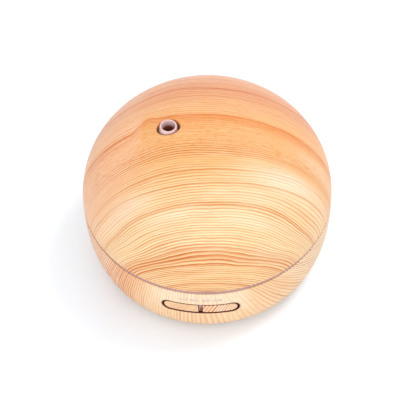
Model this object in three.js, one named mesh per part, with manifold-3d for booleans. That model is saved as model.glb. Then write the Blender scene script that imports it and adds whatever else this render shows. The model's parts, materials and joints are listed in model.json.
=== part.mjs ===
// Ultrasonic essential oil diffuser: a squat ball with a lift-off domed cover, a glowing ring at
// the seam, a water tank with its mist disc and air column, and the electronics under the tank.
// Millimetres, +Z up, origin on the surface it stands on, under its centre. The buttons face -Y.
import * as THREE from "three";
import { mergeVertices } from "three/addons/utils/BufferGeometryUtils.js";
import Module from "manifold-3d";

const wasm = await Module();
wasm.setup();

// ---------------------------------------------------------------- driving dimensions
const RADIUS = 84; // outer radius at the seam
const SEAM_Z = 54; // height of the widest circle
const DOME_H = 67.7; // dome height above the seam
const DOME_N = 2.155; // superellipse exponent of the dome
const BOWL_D = 79; // depth at which the bowl's curve would close
const BOWL_N = 2.75; // superellipse exponent of the bowl
const BASE_Z = 1.5; // underside of the base, above the feet
const EDGE_R = 10; // rounding between the bowl and the underside
const WALL = 2.5; // outer shells
const GAP = 0.3; // clearance between touching pieces
const OUTER_SEGMENTS = 48;
const INNER_SEGMENTS = 36;

const RING_LOW = 53; // light ring's visible band
const RING_HIGH = 55.2;
const RING_R = 83.5;
const SHELL_TOP = RING_LOW - GAP;
const COVER_LOW = RING_HIGH + GAP;

const TANK_R = 76.8; // tank wall, outside
const TANK_WALL = 2;
const TANK_RIM = 62;
const TANK_CURVE_Z = 50; // the wall is upright above this
const TANK_FLOOR = 23; // underside of the tank floor at its edge
const TANK_FLOOR_R = 52;
const POCKET_X = 31; // half width and top of the tank's pocket for the buttons
const POCKET_Z = 49.2;

const NOZZLE_X = -24; // mist outlet, left of the top
const NOZZLE_TOP = 120.8;
const WELL_R = 7.75; // the outlet's well, half as long as it is along X
const WELL_SQUEEZE = 0.84; // and how much narrower it is along Y
const WELL_HOLE_R = 5.5;
const WELL_FLOOR = 112.6;
const WELL_WALL = 1.8;
const CHIMNEY_R = 9;
const CHIMNEY_LOW = 88;

const COLUMN = { x: 49, width: 12, depth: 24, wall: 2, top: 66, bottom: 21.4 };

const BUTTON_Z = 35.2; // centre of the button slot
const SLOT_HALF_X = 25.1;
const SLOT_HALF_Z = 5.2;
const BUTTON_GAP = 0.9; // dark line round the buttons
const BUTTON_SPLIT = 1.3; // half of the gap between the two buttons
const BUTTON_X = 12.7; // post and switch
const BOARD_Y = -68.8; // front face of the control board
const POCKET_Y = BOARD_Y + 1.6 + GAP; // flat front of the tank, behind that board
const LENS_Z = 46;
const LENS_PITCH = 7.45;

const FAN = { x: 36, side: 40, low: 4.2, high: 14.2, bore: 18.6, hub: 8.5, blades: 7 };
const SCREW_XY = 37; // base screws and tank pillars, on the diagonals
const FOOT = { x: 28, y: 48, r: 6 };
const PLATE_R = 64; // bottom cover
const PLATE_TOP = 3.6;
const WALL_LEDGE = 1.8; // the base shell's ledge over that cover
const JACK = { halfX: 4.5, back: 17.5, front: 30.5, low: 3.9, high: 13.2, bore: 3.15, z: 8.6 };
// the recess for the plug, and the slot its cable leaves by
const CHANNEL = { halfX: 6, high: 13.5, end: 57, cableX: 3, cableHigh: 8, wall: 1.2 };

// ---------------------------------------------------------------- solids
// A closed surface as a solid that faces out, its vertices merged by position.
function solid(geometry) {
  const bare = (geometry.index ? geometry.toNonIndexed() : geometry.clone())
    .deleteAttribute("normal")
    .deleteAttribute("uv");
  const merged = mergeVertices(bare, 1e-4);
  const vertProperties = merged.attributes.position.array;
  const index = merged.index.array;
  const kept = [];
  for (let i = 0; i < index.length; i += 3) {
    const [a, b, c] = index.subarray(i, i + 3);
    if (a !== b && b !== c && a !== c) kept.push(a, b, c);
  }
  const build = (triVerts) =>
    new wasm.Manifold(new wasm.Mesh({ numProp: 3, vertProperties, triVerts: new Uint32Array(triVerts) }));
  const made = build(kept);
  return made.volume() > 0 ? made : build(kept.reverse());
}

// A solid turned about Z from [radius, height] points. One that starts off the axis is a ring.
function turned(points, segments = INNER_SEGMENTS, x = 0, y = 0) {
  const outline = points.map(([r, z]) => new THREE.Vector2(r, z));
  if (points[0][0] > 0) outline.push(outline[0].clone());
  const lathe = new THREE.LatheGeometry(outline, segments);
  return solid(lathe.rotateX(Math.PI / 2).translate(x, y, 0));
}

const cylinder = (r, low, high, x = 0, y = 0, segments = 16) =>
  turned([[0, low], [r, low], [r, high], [0, high]], segments, x, y);

const tube = (inner, outer, low, high, x = 0, y = 0, segments = 16) =>
  turned([[inner, low], [outer, low], [outer, high], [inner, high]], segments, x, y);

function box(x0, x1, y0, y1, z0, z1) {
  const block = new THREE.BoxGeometry(x1 - x0, y1 - y0, z1 - z0);
  return solid(block.translate((x0 + x1) / 2, (y0 + y1) / 2, (z0 + z1) / 2));
}

// A flat shape drawn in X and Y, raised from z0 to z1.
function raised(shape, z0, z1, curveSegments = 8) {
  const settings = { depth: z1 - z0, bevelEnabled: false, curveSegments };
  return solid(new THREE.ExtrudeGeometry(shape, settings).translate(0, 0, z0));
}

// A flat shape drawn in X and Z, run from y0 to y1.
function run(shape, y0, y1, curveSegments = 8) {
  const settings = { depth: y1 - y0, bevelEnabled: false, curveSegments };
  const bar = new THREE.ExtrudeGeometry(shape, settings);
  return solid(bar.rotateX(Math.PI / 2).translate(0, y1, 0));
}

function roundedRect(x0, x1, y0, y1, r) {
  const shape = new THREE.Shape();
  shape.moveTo(x0 + r, y0);
  shape.lineTo(x1 - r, y0);
  shape.absarc(x1 - r, y0 + r, r, -Math.PI / 2, 0);
  shape.lineTo(x1, y1 - r);
  shape.absarc(x1 - r, y1 - r, r, 0, Math.PI / 2);
  shape.lineTo(x0 + r, y1);
  shape.absarc(x0 + r, y1 - r, r, Math.PI / 2, Math.PI);
  shape.lineTo(x0, y0 + r);
  shape.absarc(x0 + r, y0 + r, r, Math.PI, 1.5 * Math.PI);
  return shape;
}

// A round wire along a smooth curve through the points.
function wire(points, radius) {
  const path = new THREE.CatmullRomCurve3(points.map((p) => new THREE.Vector3(...p)));
  const section = new THREE.Shape().absarc(0, 0, radius, 0, 2 * Math.PI);
  const settings = { extrudePath: path, steps: 3 * points.length, curveSegments: 3 };
  return solid(new THREE.ExtrudeGeometry(section, settings));
}

const joined = (solids) => solids.reduce((a, b) => a.add(b));
const cut = (body, ...tools) => tools.reduce((a, b) => a.subtract(b), body);

// ---------------------------------------------------------------- outer form
// Points down the dome from the seam to the top, moved in by offset.
function domeCurve(offset, steps, fromZ) {
  const r = RADIUS - offset;
  const h = DOME_H - offset;
  const start = Math.asin(((fromZ - SEAM_Z) / h) ** (DOME_N / 2));
  return Array.from({ length: steps + 1 }, (_, i) => {
    const t = start + (i / steps) * (Math.PI / 2 - start);
    const [across, up] = [Math.max(0, Math.cos(t)), Math.sin(t)];
    return [r * across ** (2 / DOME_N), SEAM_Z + h * up ** (2 / DOME_N)];
  });
}

// A point on the bowl's curve at parameter t, with the outward normal's angle below the horizon.
function bowlPoint(t) {
  const depth = BOWL_D * Math.sin(t) ** (2 / BOWL_N);
  const r = RADIUS * Math.cos(t) ** (2 / BOWL_N);
  const across = (r / RADIUS) ** (BOWL_N - 1) / RADIUS;
  const down = (depth / BOWL_D) ** (BOWL_N - 1) / BOWL_D;
  return { r, z: SEAM_Z - depth, tilt: Math.atan2(down, across) };
}

// The parameter at which the edge rounding meets the bowl.
function roundingStart() {
  let low = 0;
  let high = Math.PI / 2;
  for (let i = 0; i < 40; i++) {
    const t = (low + high) / 2;
    const p = bowlPoint(t);
    const centreZ = p.z + EDGE_R * Math.sin(p.tilt);
    if (centreZ > BASE_Z + EDGE_R) low = t;
    else high = t;
  }
  return low;
}

// Points down the bowl from topZ to the underside, moved in by offset.
function bowlCurve(offset, steps, topZ) {
  const end = roundingStart();
  const start = Math.asin(((SEAM_Z - topZ) / BOWL_D) ** (BOWL_N / 2));
  const at = (i) => bowlPoint(start + (i / steps) * (end - start));
  const side = Array.from({ length: steps + 1 }, (_, i) => at(i));
  const last = side[steps];
  const centre = {
    r: last.r - EDGE_R * Math.cos(last.tilt),
    z: last.z + EDGE_R * Math.sin(last.tilt),
  };
  const edge = [1, 2, 3].map((i) => {
    const tilt = last.tilt + (i / 3) * (Math.PI / 2 - last.tilt);
    return { r: centre.r + EDGE_R * Math.cos(tilt), z: centre.z - EDGE_R * Math.sin(tilt), tilt };
  });
  const inward = ({ r, z, tilt }) => [r - offset * Math.cos(tilt), z + offset * Math.sin(tilt)];
  return [...side, ...edge].map(inward);
}

// The solid inside the base's outer surface, moved in by offset.
function bowlSolid(offset) {
  const curve = bowlCurve(offset, 8, SHELL_TOP);
  return turned([[0, SHELL_TOP], ...curve, [0, curve[curve.length - 1][1]]], OUTER_SEGMENTS);
}

// ---------------------------------------------------------------- lift-off cover
function topCover() {
  const dome = turned([[0, COVER_LOW], ...domeCurve(0, 10, COVER_LOW)], OUTER_SEGMENTS);
  const hollow = turned([[0, COVER_LOW - 1], ...domeCurve(WALL, 7, COVER_LOW - 1)]);
  const wellLow = WELL_FLOOR - WELL_WALL;
  const wellTop = SEAM_Z + DOME_H;
  const oval = (r, low, high) =>
    cylinder(r, low, high, 0, 0, 24).scale([1, WELL_SQUEEZE, 1]).translate([NOZZLE_X, 0, 0]);
  const well = oval(WELL_R + WELL_WALL, wellLow, wellTop).intersect(dome);
  const lugs = [0, 1, 2, 3, 4, 5].map((i) => {
    const lug = box(77.3, RADIUS - WALL / 2, -4, 4, 61.4, 63.6);
    return lug.rotate([0, 0, 60 * i + 30]);
  });
  return cut(
    joined([dome.subtract(hollow), well, ...lugs]),
    oval(WELL_R, WELL_FLOOR, wellTop + 5),
    cylinder(WELL_HOLE_R, wellLow - 1, WELL_FLOOR + 1, NOZZLE_X, 0, 24),
  );
}

// White inner skin: a dome, the flange that the cover's lugs hold, a skirt that drops inside the
// tank rim, and the chimney that leads mist to the nozzle.
const LINER = { skirtR: 74, wall: 1.8, low: 51.8, flangeLow: 63.9, flangeR: 79.4, top: 108 };
function coverLiner() {
  const inner = LINER.skirtR - LINER.wall;
  const flangeTop = LINER.flangeLow + LINER.wall;
  const steps = 6;
  const arch = (r, h) =>
    Array.from({ length: steps + 1 }, (_, i) => {
      const t = (i / steps) * (Math.PI / 2);
      const [across, up] = [Math.max(0, Math.cos(t)), Math.sin(t)];
      return [r * across ** (2 / DOME_N), flangeTop + h * up ** (2 / DOME_N)];
    });
  const outside = arch(LINER.skirtR, LINER.top - flangeTop);
  const inside = arch(inner, LINER.top - LINER.wall - flangeTop).reverse();
  const skin = turned([
    [inner, LINER.low],
    [LINER.skirtR, LINER.low],
    [LINER.skirtR, LINER.flangeLow],
    [LINER.flangeR, LINER.flangeLow],
    [LINER.flangeR, flangeTop],
    ...outside,
    ...inside,
  ]);
  const chimneyTop = WELL_FLOOR - WELL_WALL - GAP;
  const chimney = cylinder(CHIMNEY_R, CHIMNEY_LOW, chimneyTop, NOZZLE_X, 0, 24);
  return cut(
    skin.add(chimney),
    cylinder(CHIMNEY_R - 1.6, CHIMNEY_LOW - 1, chimneyTop + 1, NOZZLE_X, 0, 24),
  );
}

// Translucent outlet: a tapering collar that stands in the well on its foot, with a stem below.
const NOZZLE = { rimR: 5.4, boreR: 4.6, footR: 6.2, stemR: 5.1, stemLow: 106.5, stemBore: 4.1 };
function mistNozzle() {
  const foot = WELL_FLOOR + GAP;
  return turned(
    [
      [NOZZLE.stemBore, NOZZLE.stemLow],
      [NOZZLE.stemR, NOZZLE.stemLow],
      [NOZZLE.stemR, foot],
      [NOZZLE.footR, foot],
      [NOZZLE.footR, foot + 2.2],
      [NOZZLE.rimR + 0.3, NOZZLE_TOP - 1.2],
      [NOZZLE.rimR, NOZZLE_TOP - 0.2],
      [NOZZLE.rimR - 0.2, NOZZLE_TOP],
      [NOZZLE.boreR + 0.15, NOZZLE_TOP],
      [NOZZLE.boreR, NOZZLE_TOP - 0.3],
      [NOZZLE.stemBore, NOZZLE_TOP - 4.7],
    ],
    24,
    NOZZLE_X,
  );
}

// ---------------------------------------------------------------- base shell, ring and tank
function slotShape(grow) {
  const halfX = SLOT_HALF_X + grow;
  const halfZ = SLOT_HALF_Z + grow;
  return roundedRect(-halfX, halfX, BUTTON_Z - halfZ, BUTTON_Z + halfZ, halfZ);
}

function lensShape(x, grow) {
  const halfX = 2.3 + grow;
  const halfZ = 0.85 + grow;
  return roundedRect(x - halfX, x + halfX, LENS_Z - halfZ, LENS_Z + halfZ, halfZ * 0.9);
}

const lensXs = [-1.5, -0.5, 0.5, 1.5].map((i) => i * LENS_PITCH);

function baseShell() {
  const inside = bowlCurve(WALL, 6, SHELL_TOP + 1);
  const ledge = PLATE_TOP + WALL_LEDGE;
  const kept = inside.filter(([, z]) => z > ledge + 1);
  const hollow = turned([[0, SHELL_TOP + 1], ...kept, [kept[kept.length - 1][0] - 2, ledge], [0, ledge]]);
  const recess = cylinder(PLATE_R + GAP, 0, PLATE_TOP, 0, 0, OUTER_SEGMENTS);
  const opening = cylinder(60, 0, ledge + 1, 0, 0, OUTER_SEGMENTS);
  const ribs = [0, 1, 2, 3, 4].map((i) =>
    box(78, RADIUS - WALL - 0.2, -1, 1, 42.5, 45.1).rotate([0, 0, 60 * i - 30]),
  );
  const { cableX, cableHigh, wall } = CHANNEL;
  const cableSides = box(-cableX - 3, cableX + 3, PLATE_R + 0.6, RADIUS, BASE_Z, cableHigh + 2.4);
  const ledgeCut = cableX + wall + GAP;
  const throat = -RADIUS - 1;
  return cut(
    joined([bowlSolid(0).subtract(hollow), ...ribs, cableSides.intersect(bowlSolid(1))]),
    recess,
    opening,
    run(slotShape(0), throat, -60, 3),
    ...lensXs.map((x) => run(lensShape(x, GAP), throat, -60, 2)),
    box(-ledgeCut, ledgeCut, 55, PLATE_R + 0.4, 0, cableHigh + wall + GAP),
    box(-cableX, cableX, 55, RADIUS + 1, 0, cableHigh),
  );
}

function lightRing() {
  return turned(
    [
      [78, 48.6],
      [79.6, 48.6],
      [79.6, 51.4],
      [81.1, 51.4],
      [81.1, RING_LOW],
      [RING_R, RING_LOW],
      [RING_R, RING_HIGH],
      [79.8, RING_HIGH],
      [79.8, 52.6],
      [78, 52.6],
    ],
    OUTER_SEGMENTS,
  );
}

const tankGasket = () => tube(77.2, 79.4, 52.9, 54.1, 0, 0, OUTER_SEGMENTS);

// The tank's bowl curve from the wall to the floor, moved in by the wall thickness for the inside.
function tankCurve(inset, steps) {
  const span = TANK_R - TANK_FLOOR_R;
  const drop = TANK_CURVE_Z - TANK_FLOOR;
  return Array.from({ length: steps + 1 }, (_, i) => {
    const t = (i / steps) * (Math.PI / 2);
    const r = TANK_FLOOR_R - inset + span * Math.max(0, Math.cos(t)) ** 0.9;
    return [r, TANK_CURVE_Z + inset - drop * Math.sin(t) ** 0.9];
  });
}

const PIEZO = { r: 9.9, low: 17, high: 17.8, seatR: 11.6, boss: 14, openR: 8.2, screwR: 18 };
const piezoScrewDegs = [60, 180, 300];
const piezoScrewSpots = piezoScrewDegs.map((deg) => {
  const a = THREE.MathUtils.degToRad(deg);
  return [PIEZO.screwR * Math.cos(a), PIEZO.screwR * Math.sin(a)];
});
const diagonals = [[1, 1], [-1, 1], [-1, -1], [1, -1]];
const screwSpots = diagonals.map(([i, j]) => [i * SCREW_XY, j * SCREW_XY]);
const footSpots = diagonals.map(([i, j]) => [i * FOOT.x, j * FOOT.y]);

// The air column's outline, moved in by inset.
function columnShape(inset) {
  const { x, width, depth } = COLUMN;
  const [halfX, halfY] = [width / 2 - inset, depth / 2 - inset];
  return roundedRect(x - halfX, x + halfX, -halfY, halfY, 3.5 - inset);
}

function waterTank() {
  const inner = TANK_R - TANK_WALL;
  const body = turned(
    [
      [0, 15],
      [PIEZO.boss, 15],
      [PIEZO.boss, 21.5],
      ...tankCurve(0, 5).reverse(),
      [TANK_R, 54.4],
      [79.5, 54.4],
      [79.5, 55.8],
      [TANK_R, 55.8],
      [TANK_R, TANK_RIM],
      [0, TANK_RIM],
    ],
  );
  const space = turned([
    [0, 23.4],
    [12, 23.4],
    ...tankCurve(TANK_WALL, 5).reverse(),
    [inner, TANK_RIM + 1],
    [0, TANK_RIM + 1],
  ]);
  const pocket = box(-POCKET_X, POCKET_X, -90, POCKET_Y, 0, POCKET_Z);
  const bulgeX = POCKET_X + TANK_WALL;
  const bulge = box(-bulgeX, bulgeX, -90, POCKET_Y + TANK_WALL, 0, POCKET_Z + TANK_WALL);
  const hollow = space.subtract(bulge);
  const pillars = screwSpots.map(([x, y]) => cylinder(3.5, 7.9, 25, x, y, 12));
  const pilots = screwSpots.map(([x, y]) => cylinder(1.75, 7, 19, x, y, 10));
  const studs = piezoScrewSpots.map(([x, y]) => cylinder(2.6, 15, 24, x, y, 10));
  const studHoles = piezoScrewSpots.map(([x, y]) => cylinder(1.3, 14, 20.4, x, y, 8));
  const { wall, top, bottom } = COLUMN;
  const well = turned([[0, 18], [PIEZO.openR, 18], [PIEZO.openR, 21], [12, 23.5], [0, 23.5]], 24);
  return cut(
    joined([body, ...pillars, ...studs]).subtract(hollow).add(raised(columnShape(0), bottom, top, 1)),
    pocket,
    raised(columnShape(wall), bottom - 1, top + 1, 1),
    cylinder(PIEZO.seatR, 14, 19, 0, 0, 24),
    well,
    ...pilots,
    ...studHoles,
  );
}

// Hood that keeps drips out of the air column, on four short legs.
function airOutletCap() {
  const { x, width, depth, top } = COLUMN;
  const [halfX, halfY] = [width / 2 + 1.5, depth / 2 + 1.5];
  const roof = raised(roundedRect(x - halfX, x + halfX, -halfY, halfY, 4), top + 3.3, top + 5, 1);
  const legs = diagonals.map(([i, j]) => {
    const lx = x + i * (width / 2 - 1.6);
    const ly = j * (depth / 2 - 3.6);
    return box(lx - 0.8, lx + 0.8, ly - 0.8, ly + 0.8, top + GAP, top + 4);
  });
  return joined([roof, ...legs]);
}

// ---------------------------------------------------------------- mist disc
const piezoDisc = () => cylinder(PIEZO.r, PIEZO.low, PIEZO.high, 0, 0, 24);

function piezoSeal() {
  return turned(
    [
      [8.5, 15.6],
      [11.3, 15.6],
      [11.3, 18.7],
      [8.5, 18.7],
      [8.5, PIEZO.high + GAP],
      [PIEZO.r + GAP, PIEZO.high + GAP],
      [PIEZO.r + GAP, PIEZO.low - GAP],
      [8.5, PIEZO.low - GAP],
    ],
    24,
  );
}

function piezoClamp() {
  const lugs = piezoScrewSpots.map(([x, y]) => cylinder(4, 13.2, 14.7, x, y, 14));
  const holes = piezoScrewSpots.map(([x, y]) => cylinder(1.5, 12, 16, x, y, 10));
  const bridge = box(0, PIEZO.screwR, -4, 4, 13.2, 14.7);
  const bridges = piezoScrewDegs.map((deg) => bridge.rotate([0, 0, deg]));
  const disc = cylinder(13.5, 13.2, 14.7, 0, 0, 24);
  const press = cylinder(11.2, 14, 15.3, 0, 0, 24);
  return cut(joined([disc, press, ...lugs, ...bridges]), cylinder(6.5, 12, 16, 0, 0, 20), ...holes);
}

const piezoScrew = () => cylinder(2.4, 11.6, 12.9, 0, 0, 12).add(cylinder(1, 12, 20, 0, 0, 8));

// ---------------------------------------------------------------- glowing ring's lamps
function arcShape(inner, outer, fromDeg, toDeg) {
  const [a, b] = [fromDeg, toDeg].map(THREE.MathUtils.degToRad);
  const shape = new THREE.Shape();
  shape.absarc(0, 0, outer, a, b);
  shape.absarc(0, 0, inner, b, a, true);
  return shape;
}

// The board leaves out the front, where the buttons are.
const ledRingBoard = () => raised(arcShape(77.6, 80.8, -62, 242), 45.4, 46.6, 16);
const ringLedDegs = [0, 1, 2, 3, 4, 5].map((i) => -45 + 54 * i);
const ringLed = () => box(77.7, 80.3, -1.6, 1.6, 46.9, 48.3);

// ---------------------------------------------------------------- buttons
// One half of the slot's pill, grown or shrunk, on the left (-1) or right (+1) of the split.
function halfPill(side, grow) {
  const [x0, x1] = side < 0 ? [-60, -BUTTON_SPLIT] : [BUTTON_SPLIT, 60];
  const half = box(x0, x1, -90, -60, 20, 50);
  return run(slotShape(grow), -RADIUS - 1, -65, 3).intersect(half);
}

const BUTTON_FACE = 0.1; // how far the button's face sits below the shell's surface
function button(side) {
  const cap = halfPill(side, -BUTTON_GAP).intersect(bowlSolid(BUTTON_FACE)).subtract(bowlSolid(5.2));
  const lip = halfPill(side, 0.7)
    .intersect(bowlSolid(WALL + 2 * GAP))
    .subtract(bowlSolid(5.2));
  const x = side * BUTTON_X;
  const post = box(x - 2, x + 2, -79, -75.2, BUTTON_Z - 2, BUTTON_Z + 2);
  return joined([cap, lip, post]);
}

// Dark carrier behind the buttons, with the rib that shows between them.
function buttonFrame() {
  const plate = run(roundedRect(-27.5, 27.5, BUTTON_Z - 9, BUTTON_Z + 9, 2), -RADIUS, -65, 2);
  const curved = plate.intersect(bowlSolid(6.6)).subtract(bowlSolid(7.8));
  const bar = box(-0.85, 0.85, -RADIUS, -75, BUTTON_Z - 4.2, BUTTON_Z + 4.2);
  const rib = bar.intersect(bowlSolid(1.1));
  const inside = bowlSolid(WALL + 2 * GAP);
  const stands = diagonals.map(([i, j]) => {
    const x = i * 25.6;
    const z = BUTTON_Z + j * 7.6;
    return box(x - 1.2, x + 1.2, -RADIUS, BOARD_Y - GAP, z - 1.2, z + 1.2).intersect(inside);
  });
  const windows = [-BUTTON_X, BUTTON_X].map((x) =>
    box(x - 3.2, x + 3.2, -RADIUS, -65, BUTTON_Z - 3.2, BUTTON_Z + 3.2),
  );
  return cut(joined([curved, rib, ...stands]), ...windows);
}

const controlBoard = () => box(-27, 27, BOARD_Y, BOARD_Y + 1.6, 26, 48.5);

// A round bar along Y, from y0 to y1.
function barAlongY(r, y0, y1, z, segments) {
  return cylinder(r, 0, y1 - y0, 0, 0, segments).rotate([-90, 0, 0]).translate([0, y0, z]);
}

function touchSwitch() {
  const body = box(-3, 3, BOARD_Y - 3.8, BOARD_Y - GAP, BUTTON_Z - 3, BUTTON_Z + 3);
  return body.subtract(barAlongY(2.05, BOARD_Y - 5, BOARD_Y - 1.5, BUTTON_Z, 12));
}

const plunger = () => barAlongY(1.75, -74.9, BOARD_Y - 2.6, BUTTON_Z, 12);

const indicatorLens = (x) =>
  run(lensShape(x, 0), -RADIUS - 1, BOARD_Y - 2.2, 2).intersect(bowlSolid(0));

const indicatorLed = () =>
  box(-1.5, 1.5, BOARD_Y - 1.9, BOARD_Y - GAP, LENS_Z - 0.8, LENS_Z + 0.8);

// ---------------------------------------------------------------- electronics
const BOARD = { x0: -58, x1: -18, y: 30, z0: 8, z1: 9.6 };
const boardPosts = [[-48, 26], [-48, -26], [-22, 26], [-22, -26]];
const PART_Z = BOARD.z1 + GAP; // underside of whatever stands on the main board

const mainBoard = () => box(BOARD.x0, BOARD.x1, -BOARD.y, BOARD.y, BOARD.z0, BOARD.z1);
const coil = () => tube(3, 6.2, PART_Z, PART_Z + 5, -30, -2, 20);
const capacitor = () => cylinder(4, PART_Z, PART_Z + 9.5, -45, -17, 16);
const transistor = () => box(-41, -34, 14, 18.5, PART_Z, PART_Z + 9);

function heatSink() {
  const top = PART_Z + 10;
  const back = box(-46, -29, 18.9, 20.6, PART_Z, top);
  const fins = [0, 1, 2, 3, 4, 5].map((i) => box(-46 + 3.1 * i, -44.5 + 3.1 * i, 20, 26, PART_Z, top));
  return joined([back, ...fins]);
}

function powerJack() {
  const { halfX, back, front, low, high, bore, z } = JACK;
  const body = box(-halfX, halfX, back, front, low, high);
  const socket = barAlongY(bore, front - 9.5, front + 1, z, 20);
  return body.subtract(socket).add(barAlongY(1, front - 10, front - 1, z, 20));
}

// ---------------------------------------------------------------- fan
function fanFrame() {
  const { x, side, low, high, bore, hub } = FAN;
  const half = side / 2;
  const body = raised(roundedRect(x - half, x + half, -half, half, 3), low, high, 1);
  const arm = box(0, bore + 0.8, -1.2, 1.2, low, low + 1.4);
  const arms = [0, 120, 240].map((deg) => arm.rotate([0, 0, deg]).translate([x, 0, 0]));
  const centre = cylinder(hub, low, low + 1.4, x, 0, 20);
  return joined([body.subtract(cylinder(bore, low - 1, high + 1, x, 0, 32)), centre, ...arms]);
}

// Hub and blades about their own axis, which stands at the fan's centre.
function fanRotor() {
  const { high, bore, hub, blades, low } = FAN;
  const bottom = low + 2;
  const top = high - 0.6;
  const blade = box(hub - 1, bore - 0.8, -0.5, 0.5, -3.4, 3.4)
    .rotate([38, 0, 0])
    .translate([0, 0, (bottom + top) / 2]);
  const fanned = Array.from({ length: blades }, (_, i) => blade.rotate([0, 0, (360 * i) / blades]));
  return joined([cylinder(hub, bottom, top, 0, 0, 20), ...fanned]);
}

// Lid over the fan that turns its air into the tank's column.
function fanDuct() {
  const { x, side, high } = FAN;
  const low = high + GAP;
  const top = COLUMN.bottom - GAP;
  const half = side / 2;
  const inner = half - 1.5;
  return cut(
    box(x - half, x + half, -half, half, low, top),
    box(x - inner, x + inner, -inner, inner, low - 1, top - 1.5),
    raised(columnShape(COLUMN.wall), low, top + 1, 1),
  );
}

// ---------------------------------------------------------------- bottom
function grilleSlots() {
  const pitch = 5;
  return [-3, -2, -1, 0, 1, 2, 3].map((i) => {
    const half = Math.sqrt(18 ** 2 - (i * pitch) ** 2);
    const y = i * pitch;
    const slot = roundedRect(FAN.x - half, FAN.x + half, y - 1.2, y + 1.2, 1.19);
    return raised(slot, 0, PLATE_TOP + 1, 1);
  });
}

function bottomCover() {
  const { halfX, high, end, cableX, cableHigh, wall } = CHANNEL;
  const plate = cylinder(PLATE_R, BASE_Z, PLATE_TOP - GAP, 0, 0, OUTER_SEGMENTS);
  const mouth = JACK.front + GAP;
  const plugX = halfX + wall;
  const plugTunnel = box(-plugX, plugX, mouth, end + wall, 3, high + wall);
  const cableTunnel = box(-cableX - wall, cableX + wall, end, PLATE_R - 0.4, 3, cableHigh + wall);
  const bosses = screwSpots.map(([x, y]) => cylinder(4.5, 3, 7.6, x, y, 16));
  const posts = boardPosts.map(([x, y]) => cylinder(2.4, 3, BOARD.z0 - GAP, x, y, 10));
  const heads = screwSpots.map(([x, y]) => cylinder(3.1, 0, 5.6, x, y, 16));
  const holes = screwSpots.map(([x, y]) => cylinder(1.75, 5, 8, x, y, 10));
  const pads = footSpots.map(([x, y]) => cylinder(FOOT.r + GAP, 0, BASE_Z + 0.8, x, y, 20));
  return cut(
    joined([plate, plugTunnel, cableTunnel, ...bosses, ...posts]),
    box(-halfX, halfX, mouth - 1, end, 0, high),
    box(-cableX, cableX, end - 1, PLATE_R + 1, 0, cableHigh),
    ...grilleSlots(),
    ...heads,
    ...holes,
    ...pads,
  );
}

const foot = () => cylinder(FOOT.r, 0, BASE_Z + 0.5, 0, 0, 20);

const baseScrew = () => cylinder(2.75, 3, 5.3, 0, 0, 14).add(cylinder(1.4, 5, 18, 0, 0, 8));

// ---------------------------------------------------------------- wires
const WIRE_R = 0.7;
const discRoute = [
  [2, 2, 16.6], [1, 2, 12], [-3, 5, 8.5], [-11, 9, 8.5], [-16, 11, 11.5], [-22, 12, 12], [-25, 12, 10.4],
];
const fanRoute = [
  [15.4, -14, 8], [11, -15, 6.5], [0, -17, 6], [-11, -18, 7], [-16, -19, 11.5], [-22, -20, 12],
  [-25, -20, 10.4],
];
const jackRoute = [
  [-2, 17, 6.5], [-5, 15, 6], [-11, 16, 7], [-15.5, 19, 11], [-21, 22, 12], [-25, 22, 10.4],
];
const ringRoute = [
  [-60.4, 50.7, 45], [-60, 50.3, 38], [-59.4, 49.8, 28], [-57, 47, 18], [-50, 34, 12.5], [-47, 21, 10.4],
];
const keypadRoute = [
  [-14, -68, 25.6], [-15, -65, 18], [-20, -52, 9], [-26, -40, 8], [-27, -33, 11.5], [-28, -27, 10.4],
];

// ---------------------------------------------------------------- the assembly
const finish = (color, roughness, metalness = 0, opacity = 1) =>
  new THREE.MeshStandardMaterial({ color, roughness, metalness, opacity, transparent: opacity < 1 });

const wood = finish(0xf3c596, 0.45);
const white = finish(0xf2efe9, 0.4);
const milky = finish(0xcdb9c6, 0.35, 0, 0.8);
const darkBrown = finish(0x5a3a34, 0.6);
const solderMask = finish(0x1f6b3a, 0.5);
const black = finish(0x1b1b1c, 0.5);
const silicone = finish(0xdadada, 0.7);
const steel = finish(0xb9bcc0, 0.3, 0.9);
const copper = finish(0xb8703a, 0.4, 0.8);
const rubber = finish(0x8c8880, 0.85);
const lamp = finish(0xfff4d0, 0.3);
const insulation = finish(0xb02a22, 0.5);

const assembly = new THREE.Group();

// One named piece of the assembly, moved to its spot and turned about Z.
function place(name, made, material, [x, y, z] = [0, 0, 0], turnDeg = 0) {
  const mesh = made.getMesh();
  const geometry = new THREE.BufferGeometry()
    .setAttribute("position", new THREE.BufferAttribute(new Float32Array(mesh.vertProperties), 3))
    .setIndex(new THREE.BufferAttribute(new Uint32Array(mesh.triVerts), 1));
  geometry.computeVertexNormals();
  const piece = new THREE.Mesh(geometry, material);
  piece.name = name;
  piece.position.set(x, y, z);
  piece.rotation.z = THREE.MathUtils.degToRad(turnDeg);
  assembly.add(piece);
}

// Copies of one piece at [x, y] spots, numbered from 1.
function placeAt(name, made, material, spots) {
  spots.forEach(([x, y], i) => place(`${name}_${i + 1}`, made, material, [x, y, 0]));
}

place("top_cover", topCover(), wood);
place("cover_liner", coverLiner(), white);
place("mist_nozzle", mistNozzle(), milky);

place("base_shell", baseShell(), wood);
place("light_ring", lightRing(), milky);
place("tank_gasket", tankGasket(), silicone);
place("water_tank", waterTank(), white);
place("air_outlet_cap", airOutletCap(), white);

place("piezo_disc", piezoDisc(), steel);
place("piezo_seal", piezoSeal(), silicone);
place("piezo_clamp", piezoClamp(), white);
placeAt("piezo_screw", piezoScrew(), steel, piezoScrewSpots);

place("led_ring_board", ledRingBoard(), solderMask);
ringLedDegs.forEach((deg, i) => place(`ring_led_${i + 1}`, ringLed(), lamp, [0, 0, 0], deg));

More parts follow.
